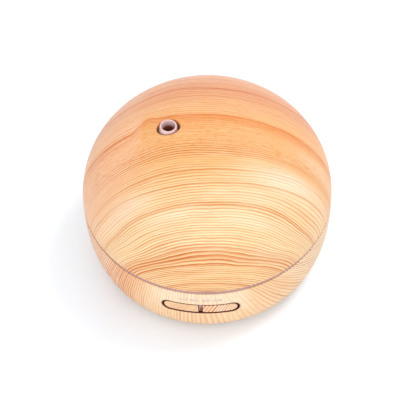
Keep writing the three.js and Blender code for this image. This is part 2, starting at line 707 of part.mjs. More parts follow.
place("button_frame", buttonFrame(), darkBrown);
place("control_board", controlBoard(), solderMask);
for (const [key, side] of [["light", -1], ["mist", 1]]) {
  place(`${key}_button`, button(side), wood);
  place(`${key}_switch`, touchSwitch(), black, [side * BUTTON_X, 0, 0]);
  place(`${key}_plunger`, plunger(), black, [side * BUTTON_X, 0, 0]);
}
lensXs.forEach((x, i) => place(`indicator_lens_${i + 1}`, indicatorLens(x), milky));
placeAt("indicator_led", indicatorLed(), lamp, lensXs.map((x) => [x, 0]));

place("main_board", mainBoard(), solderMask);
place("coil", coil(), copper);
place("capacitor", capacitor(), black);
place("transistor", transistor(), black);
place("heat_sink", heatSink(), steel);
place("power_jack", powerJack(), black);

place("fan_frame", fanFrame(), black);
place("fan_rotor", fanRotor(), black, [FAN.x, 0, 0]);
place("fan_duct", fanDuct(), white);

place("bottom_cover", bottomCover(), white);
placeAt("foot", foot(), rubber, footSpots);
placeAt("base_screw", baseScrew(), steel, screwSpots);

place("piezo_wires", wire(discRoute, WIRE_R), insulation);
place("fan_wires", wire(fanRoute, WIRE_R), insulation);
place("jack_wires", wire(jackRoute, WIRE_R), insulation);
place("led_wires", wire(ringRoute, WIRE_R), insulation);
place("button_wires", wire(keypadRoute, WIRE_R), insulation);

export default assembly;
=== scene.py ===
import functools
import json
import math

import bmesh
import bpy
import numpy as np
from mathutils import Matrix, Vector


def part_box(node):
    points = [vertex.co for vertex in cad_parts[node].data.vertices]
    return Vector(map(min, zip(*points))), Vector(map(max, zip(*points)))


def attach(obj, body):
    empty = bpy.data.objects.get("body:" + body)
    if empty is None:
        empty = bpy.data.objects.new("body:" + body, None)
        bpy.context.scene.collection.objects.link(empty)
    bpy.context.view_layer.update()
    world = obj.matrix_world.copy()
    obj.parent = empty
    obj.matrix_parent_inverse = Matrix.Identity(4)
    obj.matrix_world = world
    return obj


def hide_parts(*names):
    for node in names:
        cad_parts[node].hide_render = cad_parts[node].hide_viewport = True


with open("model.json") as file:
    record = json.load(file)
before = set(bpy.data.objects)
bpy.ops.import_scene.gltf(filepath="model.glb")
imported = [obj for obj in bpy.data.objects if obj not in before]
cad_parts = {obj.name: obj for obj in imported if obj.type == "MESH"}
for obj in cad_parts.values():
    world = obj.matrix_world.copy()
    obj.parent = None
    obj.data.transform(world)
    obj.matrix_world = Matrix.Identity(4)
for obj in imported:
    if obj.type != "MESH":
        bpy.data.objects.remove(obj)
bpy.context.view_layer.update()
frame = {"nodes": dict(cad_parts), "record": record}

MM = 0.001
TURN = 2 * math.pi


def box_mm(node):
    """A CAD node's lowest and highest corner, in millimetres."""
    low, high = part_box(node)
    return np.array(low) / MM, np.array(high) / MM


# ---------------------------------------------------------------- dimensions
cover_low, cover_high = box_mm("top_cover")
shell_low, shell_high = box_mm("base_shell")
ring_low, ring_high = box_mm("light_ring")
nozzle_low, nozzle_high = box_mm("mist_nozzle")
plate_high = box_mm("bottom_cover")[1]

RADIUS = cover_high[0]
SEAM_Z = 54.0
DOME_H = cover_high[2] - SEAM_Z
DOME_N = 2.155
BOWL_D = 79.0
BOWL_N = 2.75
BASE_Z = shell_low[2]
EDGE_R = 10.0
WALL = 2.5
COVER_LOW = cover_low[2]
SHELL_TOP = shell_high[2]
RING_R = ring_high[0]
RING_TOP = ring_high[2]
RING_BOTTOM = 53.0

NOZZLE_X = (nozzle_low[0] + nozzle_high[0]) / 2
WELL_R = 7.75
WELL_SQUEEZE = 0.84
WELL_FLOOR = 112.6
WELL_WALL = 1.8
WELL_HOLE = 5.5

# A pill outline is a spine, given by its half length, with a radius round it.
SLOT_Z = 35.2
SLOT_SPINE = 19.9
SLOT_R = 5.2
SLOT_RIM = 0.5
BUTTON_GAP = 0.9
BUTTON_SPLIT = 1.3
POST_X = 12.7
POST_HALF = 2.0
POST_FRONT = -78.5
LENS_Z = 46.0
LENS_PITCH = 7.45
LENS_XS = [LENS_PITCH * (i - 1.5) for i in range(4)]
PLATE_R = plate_high[0]
RECESS_R = PLATE_R + 0.3
LEDGE_Z = 5.4
CABLE_X = 3.0
CABLE_HIGH = 8.0


# ---------------------------------------------------------------- outer form
def dome_z(r, offset=0.0):
    """Height of the dome at radius r, moved in by offset."""
    share = np.clip(np.asarray(r) / (RADIUS - offset), 0, 1) ** DOME_N
    return SEAM_Z + (DOME_H - offset) * (1 - share) ** (1 / DOME_N)


def dome_radius(z, offset=0.0):
    """Radius of the dome at height z, moved in by offset."""
    share = ((z - SEAM_Z) / (DOME_H - offset)) ** DOME_N
    return (RADIUS - offset) * (1 - share) ** (1 / DOME_N)


@functools.lru_cache(maxsize=None)
def bowl_points(offset):
    """(radius, height) down the bowl and round its lower edge to the underside."""
    t = np.linspace(1e-4, math.pi / 2 - 1e-3, 6000)
    r = RADIUS * np.cos(t) ** (2 / BOWL_N)
    depth = BOWL_D * np.sin(t) ** (2 / BOWL_N)
    z = SEAM_Z - depth
    across = (r / RADIUS) ** (BOWL_N - 1) / RADIUS
    down = (depth / BOWL_D) ** (BOWL_N - 1) / BOWL_D
    tilt = np.arctan2(down, across)
    keep = z + EDGE_R * np.sin(tilt) > BASE_Z + EDGE_R
    r, z, tilt = r[keep], z[keep], tilt[keep]
    centre_r = r[-1] - EDGE_R * math.cos(tilt[-1])
    centre_z = z[-1] + EDGE_R * math.sin(tilt[-1])
    edge = np.linspace(tilt[-1], math.pi / 2, 200)[1:]
    r = np.append(r, centre_r + EDGE_R * np.cos(edge))
    z = np.append(z, centre_z - EDGE_R * np.sin(edge))
    tilt = np.append(tilt, edge)
    return r - offset * np.cos(tilt), z + offset * np.sin(tilt)


def bowl_radius(z, offset=0.0):
    """Radius of the bowl at height z, moved in by offset."""
    r, height = bowl_points(offset)
    return np.interp(z, height[::-1], r[::-1])


def bowl_front(x, z, offset=0.0):
    """Y of the bowl's front surface at x and height z."""
    r = bowl_radius(z, offset)
    return -np.sqrt(np.maximum(r**2 - np.asarray(x) ** 2, 0))


# ---------------------------------------------------------------- mesh helpers
def linked(name, data):
    """A new object in the scene."""
    obj = bpy.data.objects.new(name, data)
    bpy.context.scene.collection.objects.link(obj)
    return obj


def add_object(name, verts, faces, smooth_angle=40):
    """A mesh object from millimetre vertices, with faces turned outward and smooth shading."""
    mesh = bpy.data.meshes.new(name)
    mesh.from_pydata([tuple(map(float, v)) for v in np.asarray(verts) * MM], [], faces)
    work = bmesh.new()
    work.from_mesh(mesh)
    bmesh.ops.remove_doubles(work, verts=work.verts, dist=2e-6)
    bmesh.ops.dissolve_degenerate(work, edges=work.edges, dist=1e-7)
    bmesh.ops.recalc_face_normals(work, faces=work.faces)
    work.to_mesh(mesh)
    work.free()
    obj = linked(name, mesh)
    shade(obj, smooth_angle)
    return obj


def shade(obj, smooth_angle):
    obj.data.polygons.foreach_set("use_smooth", [True] * len(obj.data.polygons))
    obj.data.set_sharp_from_angle(angle=math.radians(smooth_angle))


def ring_faces(count, around, loop, start=0):
    """Quads between rings of equal length, joined round."""
    faces = []
    for i in range(count if loop else count - 1):
        j = (i + 1) % count
        for k in range(around):
            m = (k + 1) % around
            corners = (i * around + k, i * around + m, j * around + m, j * around + k)
            faces.append(tuple(start + c for c in corners))
    return faces


def skin(name, rings, loop=True, smooth_angle=40):
    rings = np.asarray(rings)
    count, around = rings.shape[:2]
    return add_object(name, rings.reshape(-1, 3), ring_faces(count, around, loop), smooth_angle)


def filleted(points, radius):
    """A closed outline with each real corner turned into an arc of about that radius."""
    steps = 4
    result = []
    total = len(points)
    for i in range(total):
        before, corner, after = (np.array(points[(i + d) % total], float) for d in (-1, 0, 1))
        into, out = before - corner, after - corner
        len_in, len_out = np.linalg.norm(into), np.linalg.norm(out)
        cosine = np.dot(into, out) / (len_in * len_out)
        bend = math.pi - math.acos(max(-1.0, min(1.0, cosine)))
        if bend < math.radians(18):
            result.append(corner)
            continue
        reach = min(radius * math.tan(bend / 2), 0.42 * len_in, 0.42 * len_out)
        start = corner + into / len_in * reach
        end = corner + out / len_out * reach
        for k in range(steps + 1):
            f = k / steps
            result.append((1 - f) ** 2 * start + 2 * f * (1 - f) * corner + f**2 * end)
    return result


def quarter(start, end, count):
    """Shares that round an edge over, as the one grows and the other shrinks between 0 and 1."""
    turns = np.linspace(start * math.pi / 2, end * math.pi / 2, count)
    return [(1 - math.sin(a), 1 - math.cos(a)) for a in turns]


def rectangle(low_x, low_y, high_x, high_y):
    return [(low_x, low_y), (high_x, low_y), (high_x, high_y), (low_x, high_y)]


def circle(r, z, around, x=0.0, y=0.0, squeeze=1.0):
    """Points round a circle, or round an oval that is squeezed in Y."""
    a = np.arange(around) * TURN / around
    height = np.broadcast_to(z, a.shape)
    return np.stack([x + r * np.cos(a), y + squeeze * r * np.sin(a), height], axis=1)


def lathe(name, outline, around, x, fillet):
    """A closed (radius, height) outline turned about the vertical through x."""
    rings = [circle(r, z, around, x) for r, z in filleted(outline, fillet)]
    return skin(name, rings)


def boolean(obj, tool, operation):
    modifier = obj.modifiers.new("cut", "BOOLEAN")
    modifier.operation = operation
    modifier.object = tool
    modifier.solver = "EXACT"
    apply_modifiers(obj)
    bpy.data.objects.remove(tool)


def apply_modifiers(obj):
    bpy.context.view_layer.update()
    graph = bpy.context.evaluated_depsgraph_get()
    made = bpy.data.meshes.new_from_object(obj.evaluated_get(graph))
    obj.modifiers.clear()
    obj.data = made


def refined(node, name, bevel):
    """A copy of a CAD node's mesh with its flat faces joined and its edges rounded."""
    mesh = frame["nodes"][node].data.copy()
    mesh.name = name
    mesh.materials.clear()
    work = bmesh.new()
    work.from_mesh(mesh)
    bmesh.ops.remove_doubles(work, verts=work.verts, dist=1e-6)
    bmesh.ops.dissolve_limit(
        work, angle_limit=math.radians(1.0), verts=work.verts, edges=work.edges
    )
    bmesh.ops.recalc_face_normals(work, faces=work.faces)
    work.to_mesh(mesh)
    work.free()
    obj = linked(name, mesh)
    smooth_angle = 32
    edge = obj.modifiers.new("edge", "BEVEL")
    edge.width = bevel * MM
    edge.segments = 2
    edge.limit_method = "ANGLE"
    edge.angle_limit = math.radians(smooth_angle)
    edge.use_clamp_overlap = True
    apply_modifiers(obj)
    shade(obj, smooth_angle)
    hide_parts(node)
    return obj


def finish(obj, body, material):
    obj.data.materials.clear()
    obj.data.materials.append(material)
    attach(obj, body)
    return obj


def prism(name, outline, axis, start, end):
    """A closed bar along X (axis 0) or Y (axis 1), with its outline in the other axis and Z."""
    count = len(outline)
    verts = [np.insert(np.array(p, float), axis, place) for place in (start, end) for p in outline]
    faces = ring_faces(2, count, False)
    faces += [tuple(range(count)), tuple(range(count, 2 * count))]
    return add_object(name, verts, faces)


# ---------------------------------------------------------------- cover
COVER_AROUND = 400
COVER_RIM = 0.6
COVER_EDGE = 0.45


def sheet_rings(hole_r, edge_r, shares, surface, around, squeeze=1.0):
    """Rings on a dome from the opening at the mist outlet out to its edge circle."""
    hole = circle(hole_r, 0, around, NOZZLE_X, 0, squeeze)[:, :2]
    edge = circle(edge_r, 0, around)[:, :2]
    rings = []
    for share in shares:
        flat = hole + (edge - hole) * share
        z = surface(np.hypot(flat[:, 0], flat[:, 1]))
        rings.append(np.column_stack([flat, z]))
    return rings


def dome_shares(count):
    """Shares of the way out, closer together where the dome grows steep."""
    turn = np.linspace(0, 1, count)
    return np.sin(turn * math.pi / 2) ** 0.97


def make_cover():
    """The domed cover with its wall, its well for the nozzle and its rounded lower edge."""
    around = COVER_AROUND
    rim = COVER_RIM
    edge = COVER_EDGE
    inner_edge = dome_radius(COVER_LOW + edge, WALL)
    outer_edge = dome_radius(COVER_LOW + edge)
    well_out = WELL_R + WELL_WALL
    under = WELL_FLOOR - WELL_WALL
    inner_z = functools.partial(dome_z, offset=WALL)

    def oval(r, z):
        return circle(r, z, around, NOZZLE_X, 0, WELL_SQUEEZE)

    def hole(r, z):
        return circle(r, z, around, NOZZLE_X)

    shares = dome_shares(130)
    outside = sheet_rings(WELL_R + rim, outer_edge, shares, dome_z, around, WELL_SQUEEZE)
    shares = dome_shares(36)[::-1]
    inside = sheet_rings(well_out + 0.8, inner_edge, shares, inner_z, around, WELL_SQUEEZE)
    top = outside[0][:, 2]
    well = [
        oval(well_out, inside[-1][:, 2] - 0.8),
        oval(well_out, under + 0.3),
        oval(well_out - 0.3, under),
        hole(WELL_HOLE + 0.2, under),
        hole(WELL_HOLE, under + 0.2),
        hole(WELL_HOLE, WELL_FLOOR - 0.25),
        hole(WELL_HOLE + 0.2, WELL_FLOOR),
        oval(WELL_R - 0.4, WELL_FLOOR),
        oval(WELL_R - 0.1, WELL_FLOOR + 0.1),
        oval(WELL_R, WELL_FLOOR + 0.4),
    ]
    well += [oval(WELL_R + rim * out, top - rim * down) for out, down in quarter(1, 0, 6)[:-1]]
    low_edge = []
    for up, inward in quarter(0, 1, 6)[1:]:
        low_edge.append(circle(outer_edge - edge * inward, COVER_LOW + edge * up, around))
    low_edge.append(circle(inner_edge + 0.3, COVER_LOW, around))
    low_edge.append(circle(inner_edge, COVER_LOW + 0.3, around))
    cover = skin("cover_shell", well + outside + low_edge + inside)
    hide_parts("top_cover")
    return cover


LUG_R = (77.4, 82.4)
LUG_Z = (61.4, 63.6)
LUG_HALF = 4.0


def make_cover_lugs():
    """Six tabs inside the cover that hold the white inner skin's flange."""
    outline = filleted(rectangle(LUG_R[0], -LUG_HALF, LUG_R[1], LUG_HALF), 1.0)
    middle = np.array([sum(LUG_R) / 2, 0.0])
    low, high = LUG_Z
    levels = [(0.35, low), (0, low + 0.3), (0, high - 0.3), (0.35, high)]
    verts, faces = [], []
    for i in range(6):
        a = math.radians(60 * i + 30)
        spin = np.array([[math.cos(a), -math.sin(a)], [math.sin(a), math.cos(a)]])
        start = len(verts)
        for inset, z in levels:
            for p in outline:
                toward = middle - p
                flat = spin @ (p + toward / np.linalg.norm(toward) * inset)
                verts.append((flat[0], flat[1], z))
        faces += ring_faces(len(levels), len(outline), False, start)
        faces.append(tuple(range(start, start + len(outline))))
        top = start + 3 * len(outline)
        faces.append(tuple(range(top, top + len(outline))))
    return add_object("cover_lugs", verts, faces)


LINER_R = 74.0
LINER_WALL = 1.8
LINER_LOW = 51.8
LINER_TOP = 108.0
FLANGE_LOW = 63.9
FLANGE_R = 79.4
CHIMNEY_R = 9.0
CHIMNEY_WALL = 1.6
CHIMNEY_LOW = 88.0
CHIMNEY_TOP = WELL_FLOOR - WELL_WALL - 0.3


def make_liner():
    """The white inner skin: a dome with a flange and a skirt, and the chimney under the nozzle."""
    around = 192
    flange_top = FLANGE_LOW + LINER_WALL
    inner_r = LINER_R - LINER_WALL

    def arch(r_edge, top):
        def height(r):
            share = np.clip(np.asarray(r) / r_edge, 0, 1) ** DOME_N
            return flange_top + (top - flange_top) * (1 - share) ** (1 / DOME_N)

        return height

    bore = CHIMNEY_R - CHIMNEY_WALL
    shares = dome_shares(60)
    outside = sheet_rings(CHIMNEY_R + 0.8, LINER_R, shares, arch(LINER_R, LINER_TOP), around)
    roof = arch(inner_r, LINER_TOP - LINER_WALL)
    inside = sheet_rings(CHIMNEY_R + 0.8, inner_r, shares[::-1], roof, around)
    foot = filleted(
        [
            (LINER_R + 0.6, flange_top),
            (FLANGE_R, flange_top),
            (FLANGE_R, FLANGE_LOW),
            (LINER_R, FLANGE_LOW),
            (LINER_R, LINER_LOW),
            (inner_r, LINER_LOW),
            (inner_r, flange_top - 1),
        ],
        0.5,
    )
    rings = [circle(CHIMNEY_R, outside[0][:, 2] + 0.8, around, NOZZLE_X)] + outside
    rings += [circle(r, z, around) for r, z in foot[1:-1]]
    rings += inside
    stack = [
        (CHIMNEY_R, CHIMNEY_LOW + 0.3),
        (CHIMNEY_R - 0.3, CHIMNEY_LOW),
        (bore + 0.3, CHIMNEY_LOW),
        (bore, CHIMNEY_LOW + 0.3),
        (bore, CHIMNEY_TOP - 0.3),
        (bore + 0.3, CHIMNEY_TOP),
        (CHIMNEY_R - 0.3, CHIMNEY_TOP),
        (CHIMNEY_R, CHIMNEY_TOP - 0.3),
    ]
    rings.append(circle(CHIMNEY_R, inside[-1][:, 2] - 0.8, around, NOZZLE_X))
    rings += [circle(r, z, around, NOZZLE_X) for r, z in stack]
    liner = skin("inner_skin", rings)
    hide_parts("cover_liner")
    return liner


def make_nozzle():
    foot = WELL_FLOOR + 0.3
    top = nozzle_high[2]
    low = nozzle_low[2]
    stem = [(4.1, low), (5.1, low), (5.1, foot), (6.2, foot), (6.2, foot + 2.2)]
    outline = stem + [(5.7, top - 1.2), (5.4, top), (4.6, top), (4.1, top - 4.7)]
    nozzle = lathe("outlet_nozzle", outline, 128, NOZZLE_X, 0.3)
    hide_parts("mist_nozzle")
    return nozzle


# ---------------------------------------------------------------- base
BASE_AROUND = 360
SLOT_WINDOW = {"half": 27, "top": 44.0, "bottom": 26.6}
LENS_WINDOW = {"columns": 5, "top": 47.9, "bottom": 44.0}
LENS_SPINE = 1.45
LENS_R = 0.85
LENS_GAP = 0.3
LENS_RIM = 0.15
LOW_ROW_Z = 13.0
LEDGE_R = 60.0
RECESS_Z = 3.6


def base_levels():
    """Heights of the base's rows from its top to where the lower edge starts to round."""
    marks = (SHELL_TOP - 0.35, LENS_WINDOW["top"], SLOT_WINDOW["top"], SLOT_WINDOW["bottom"], LOW_ROW_Z)
    levels = [marks[0]]
    for high, low, count in zip(marks, marks[1:], (6, 5, 20, 14)):
        levels += list(np.linspace(high, low, count))[1:]
    return levels


def base_azimuths():
    """Turn of each column about +Z, with column 0 at the front."""
    return -math.pi / 2 + np.arange(BASE_AROUND) * TURN / BASE_AROUND


def stadium_point(flat, centre, spine, radius):
    """The nearest point of a pill outline to a point of the (x, z) plane."""
    foot = np.array([centre[0] + np.clip(flat[0] - centre[0], -spine, spine), centre[1]])
    away = flat - foot
    return foot + away / np.linalg.norm(away) * radius


def base_outline(levels):
    """The shell's closed (radius, height) section, and the index at which its inner rows start."""
    bottom_r, bottom_z = bowl_points(0)
    rounding = [(r, z) for r, z in zip(bottom_r, bottom_z) if z < levels[-1] - 0.3]
    outline = [(bowl_radius(z), z) for z in levels]
    outline += rounding[:: max(1, len(rounding) // 14)]
    outline += [
        (rounding[-1][0], BASE_Z),
        (RECESS_R + 0.3, BASE_Z),
        (RECESS_R, BASE_Z + 0.3),
        (RECESS_R, RECESS_Z),
        (LEDGE_R + 0.3, RECESS_Z),
        (LEDGE_R, RECESS_Z + 0.3),
        (LEDGE_R, LEDGE_Z - 0.3),
        (LEDGE_R + 0.3, LEDGE_Z),
    ]
    inner_r, inner_z = bowl_points(WALL)
    low_inner = [(r, z) for r, z in zip(inner_r, inner_z) if LEDGE_Z + 1 < z < levels[-1] - 0.3]
    outline.append((low_inner[-1][0] - 1.5, LEDGE_Z))
    outline += low_inner[:: -max(1, len(low_inner) // 6)]
    inner_start = len(outline)
    outline += [(bowl_radius(z, WALL), z) for z in levels[::-1]]
    top_r = bowl_radius(levels[0])
    outline += [
        (bowl_radius(levels[0], WALL) + 0.3, SHELL_TOP),
        (top_r - 0.35, SHELL_TOP),
        (top_r - 0.1, SHELL_TOP - 0.1),
    ]
    return outline, inner_start


def base_node(row, column):
    """Index of the base grid's vertex in a row and column."""
    return row * BASE_AROUND + column % BASE_AROUND


def make_base_shell():
    levels = base_levels()
    outline, inner_start = base_outline(levels)
    inner_last = inner_start + len(levels) - 1
    verts = [(r * math.cos(a), r * math.sin(a), z) for r, z in outline for a in base_azimuths()]
    windows = base_windows(levels)
    opened = set()
    for window in windows:
        first, last, top, bottom = window["cells"]
        for i in range(top, bottom):
            for k in range(first, last):
                opened.add((i, k % BASE_AROUND))
                opened.add((inner_last - 1 - i, k % BASE_AROUND))
    faces = []
    for i in range(len(outline)):
        j = (i + 1) % len(outline)
        for k in range(BASE_AROUND):
            if (i, k) not in opened:
                cell = ((i, k), (i, k + 1), (j, k + 1), (j, k))
                faces.append(tuple(base_node(*corner) for corner in cell))
    for window in windows:
        fit_window(verts, faces, window, inner_last)
    shell = add_object("wood_base_shell", verts, faces)
    cut_cable_exit(shell)
    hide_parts("base_shell")
    return shell


def base_windows(levels):
    """The rectangles of cells that give way to the button slot and the four indicator lenses."""

    def window(first, last, size, centre, spine, radius, rim):
        rows = [int(np.argmin(np.abs(np.array(levels) - size[edge]))) for edge in ("top", "bottom")]
        return {"cells": (first, last, *rows), "pill": (centre, spine), "radius": radius, "rim": rim}

    half = SLOT_WINDOW["half"]
    windows = [window(-half, half, SLOT_WINDOW, (0.0, SLOT_Z), SLOT_SPINE, SLOT_R, SLOT_RIM)]
    columns = LENS_WINDOW["columns"]
    for i, x in enumerate(LENS_XS):
        first = columns * (i - 2)
        place = (x, LENS_Z)
        hole_r = LENS_R + LENS_GAP
        windows.append(window(first, first + columns, LENS_WINDOW, place, LENS_SPINE, hole_r, LENS_RIM))
    return windows


def fit_window(verts, faces, window, inner_last):
    """Fills a window of the grid round its pill opening, with a rounded rim and a wall."""
    first, last, top, bottom = window["cells"]
    loop = [(top, k) for k in range(first, last)]
    loop += [(i, last) for i in range(top, bottom)]
    loop += [(bottom, k) for k in range(last, first, -1)]
    loop += [(i, first) for i in range(bottom, top, -1)]
    pill, radius, rim = window["pill"], window["radius"], window["rim"]
    outer = [base_node(i, k) for i, k in loop]
    inner = [base_node(inner_last - i, k) for i, k in loop]

    def in_plane(ids):
        return [np.array([verts[n][0], verts[n][2]]) for n in ids]

    def join(previous, ring):
        """Adds a ring of points and joins it to the one before."""
        ids = list(range(len(verts), len(verts) + len(ring)))
        verts.extend(ring)
        stitch(previous, ids)
        return ids

    def stitch(a, b):
        for k in range(len(a)):
            m = (k + 1) % len(a)
            faces.append((a[k], a[m], b[m], b[k]))

    def sheet(ids, reach, offset, shares):
        """Rings from the window's edge to the pill, on the bowl's outer or inner face."""
        flats = in_plane(ids)
        for share in shares:
            ring = []
            for flat in flats:
                edge = stadium_point(flat, *pill, reach)
                x, z = edge + (flat - edge) * share
                ring.append((x, float(bowl_front(x, z, offset)), z))
            ids = join(ids, ring)
        return ids

    edge_ids = sheet(outer, radius + rim, 0.0, (0.7, 0.45, 0.26, 0.12, 0.04, 0.0))
    lip = [verts[n][1] for n in edge_ids]
    for out, back in quarter(0, 1, 6)[1:]:
        ring = []
        for flat, y in zip(in_plane(outer), lip):
            x, z = stadium_point(flat, *pill, radius + rim * out)
            ring.append((x, y + rim * back, z))
        edge_ids = join(edge_ids, ring)
    stitch(edge_ids, sheet(inner, radius, WALL, (0.5, 0.0)))


def cut_cable_exit(shell):
    """The slot at the lower back that the cable leaves by, with its side walls."""
    r, z = bowl_points(1.0)
    outer = [(a, b) for a, b in zip(r, z) if b < CABLE_HIGH + 2.4][::12]
    side = [(RECESS_R + 0.3, BASE_Z + 0.2), *[(a, max(b, BASE_Z + 0.2)) for a, b in outer[::-1]]]
    side += [(outer[0][0], CABLE_HIGH + 2.4), (RECESS_R + 0.3, CABLE_HIGH + 2.4)]
    boolean(shell, prism("sides", side, 0, -CABLE_X - 3, CABLE_X + 3), "UNION")
    arch = filleted(rectangle(-CABLE_X, -2, CABLE_X, CABLE_HIGH), 1.2)
    boolean(shell, prism("exit", arch, 1, 55, RADIUS + 1), "DIFFERENCE")
    shade(shell, 40)


def make_ring():
    """The milky light ring: a thin band in the seam on a deeper collar inside the shell."""
    low = ring_low[2]
    outline = [(78, low), (79.6, low), (79.6, 51.4), (81.1, 51.4), (81.1, RING_BOTTOM)]
    outline += [(RING_R, RING_BOTTOM), (RING_R, RING_TOP), (79.8, RING_TOP), (79.8, 52.6), (78, 52.6)]
    ring = lathe("glow_ring", outline, 360, 0, 0.35)
    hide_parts("light_ring")
    return ring


def make_gasket():
    low, high = box_mm("tank_gasket")
    outline = rectangle(77.2, low[2], high[0], high[2])
    gasket = lathe("seal_ring", outline, 192, 0, 0.45)
    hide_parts("tank_gasket")
    return gasket


# ---------------------------------------------------------------- buttons and lenses
def arc(x, z, radius, start, end, count):
    """Points of an arc in the (x, z) plane, its angles in right angles."""
    turns = np.linspace(start * math.pi / 2, end * math.pi / 2, count)
    return [(x + radius * math.cos(a), z + radius * math.sin(a)) for a in turns]


def half_pill(side, grow, inset):
    """Outline of one button in (x, z), grown behind the face or inset at its rounded edge."""
    radius = SLOT_R + grow - inset
    flat_x = BUTTON_SPLIT + inset
    corner = max(0.6 - inset, 0.12)
    corner_x = flat_x + corner
    low, high = SLOT_Z - radius, SLOT_Z + radius
    points = [(x, low) for x in np.linspace(corner_x, SLOT_SPINE, 26)]
    points += arc(SLOT_SPINE, SLOT_Z, radius, -1, 1, 28)[1:]
    points += [(x, high) for x in np.linspace(SLOT_SPINE, corner_x, 26)[1:]]
    points += arc(corner_x, high - corner, corner, 1, 2, 5)[1:]
    points += [(flat_x, z) for z in np.linspace(high - corner, low + corner, 12)[1:]]
    points += arc(corner_x, low + corner, corner, 2, 3, 5)[1:-1]
    return [np.array([side * x, z]) for x, z in points]


def plate_on_bowl(outline_at, spine_of, steps):
    """Rings of a piece whose front follows the bowl. A step is (grow, inset, offset, share)."""
    rings = []
    for grow, inset, offset, share in steps:
        ring = []
        for p in outline_at(grow, inset):
            centre = spine_of(p)
            x, z = centre + (p - centre) * share
            ring.append((x, float(bowl_front(x, z, offset)), z))
        rings.append(ring)
    return rings


def make_button(side, name, node):
    """A key: its curved cap, the lip behind the slot and the post that meets the plunger."""
    cap = -BUTTON_GAP
    lip = 0.7
    round_r = 0.7
    face = 0.1
    lip_front, lip_back = 3.1, 5.2

    def spine_of(p):
        return np.array([side * np.clip(side * p[0], BUTTON_SPLIT + 3.4, SLOT_SPINE), SLOT_Z])

    steps = [(cap, round_r, face, s) for s in (0.0, 0.2, 0.4, 0.6, 0.8, 0.93)]
    steps += [(cap, round_r * inward, face + round_r * back, 1.0) for back, inward in quarter(1, 0, 7)]
    steps += [(cap, 0, lip_front, 1.0), (lip, 0, lip_front, 1.0)]
    steps += [(lip, 0, lip_back, 1.0), (lip, 0, lip_back, 0.0)]
    button = skin(name, plate_on_bowl(functools.partial(half_pill, side), spine_of, steps), False)
    middle = side * POST_X
    square = rectangle(middle - POST_HALF, SLOT_Z - POST_HALF, middle + POST_HALF, SLOT_Z + POST_HALF)
    back = box_mm(node)[1][1]
    boolean(button, prism("post", filleted(square, 0.4), 1, POST_FRONT, back), "UNION")
    shade(button, 40)
    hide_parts(node)
    return button


def make_lens(index, x):
    """One window over an indicator lamp: a small light pipe whose face follows the shell."""

    def outline_at(_, inset):
        radius = LENS_R - inset
        right = arc(x + LENS_SPINE, LENS_Z, radius, -1, 1, 14)
        left = arc(x - LENS_SPINE, LENS_Z, radius, 1, 3, 14)
        return [np.array(p) for p in right + left]

    def spine_of(p):
        return np.array([np.clip(p[0], x - LENS_SPINE, x + LENS_SPINE), LENS_Z])

    node = f"indicator_lens_{index}"
    back_y = box_mm(node)[1][1]
    round_r = 0.25
    face = 0.02
    steps = [(0, round_r, face, s) for s in (0.0, 0.6)]
    steps += [(0, round_r * inward, face + round_r * back, 1.0) for back, inward in quarter(1, 0, 5)]
    rings = plate_on_bowl(outline_at, spine_of, steps)
    back = [(px, back_y, pz) for px, _, pz in rings[-1]]
    middle = [spine_of(np.array([px, pz])) for px, _, pz in back]
    rings += [back, [(mx, back_y, mz) for mx, mz in middle]]
    lens = skin(f"window_{index}", rings, False)
    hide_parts(node)
    return lens


def make_foot(index):
    """A rubber foot with three raised rings underneath."""
    node = f"foot_{index}"
    low, high = box_mm(node)
    x, y = (low[:2] + high[:2]) / 2
    r = (high[0] - low[0]) / 2
    groove = low[2] + 0.25
    outline = [(0, groove)]
    for ridge in (1.4, 2.9, 4.4):
        outline += [(ridge - 0.55, groove), (ridge - 0.35, low[2])]
        outline += [(ridge + 0.35, low[2]), (ridge + 0.55, groove)]
    outline += [(r - 0.5, low[2] + 0.1), (r, low[2] + 0.5), (r, high[2]), (0, high[2])]
    rings = [circle(max(a, 1e-4), b, 72, x, y) for a, b in outline]
    pad = skin(f"foot_pad_{index}", rings, False, 50)
    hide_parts(node)
    return pad


# ---------------------------------------------------------------- printed grain
# The film's growth lines run along X on the cover. Each row is (line's place along the middle,
# slope, bow to the left, bow to the right, fall to the left of KINK_X).
COVER_LINES = (
    (-94, 0.05, 0.0004, 0.0010, 0.0), (-84, 0.05, 0.0006, 0.0014, 0.0),
    (-74, 0.05, 0.0006, 0.0018, 0.0), (-60, 0.07, 0.0002, 0.0006, 0.0),
    (-52, 0.09, -0.0003, -0.0003, 0.0), (-41, 0.10, 0.0005, 0.0006, 0.0),
    (-32, 0.09, 0.0004, 0.0005, 0.08), (-20, 0.05, 0.0, 0.0, 0.17), (0, 0.01, 0.0, -0.0005, 0.23),
    (10, 0.01, 0.0, -0.0011, 0.20), (40, 0.0, 0.0, -0.0011, 0.38), (84, 0.0, 0.0, -0.0011, 0.34),
)
KINK_X = -25.0
# Left of TINT_X the print is pinker, with a hard edge beside the nozzle.
TINT_X = -42.0
# A fold in the lines left of the nozzle: they rise a little and then drop.
FOLD = {"x": -38.0, "reach": 12.0, "drop": 7.0, "line": 6.0, "spread": 9.0, "rise": 3.5}
# Low on the dome the film is drawn down the side, so lines keep apart there.
STRETCH = {"from_z": 78.0, "share": 0.40, "soft": 2.0}

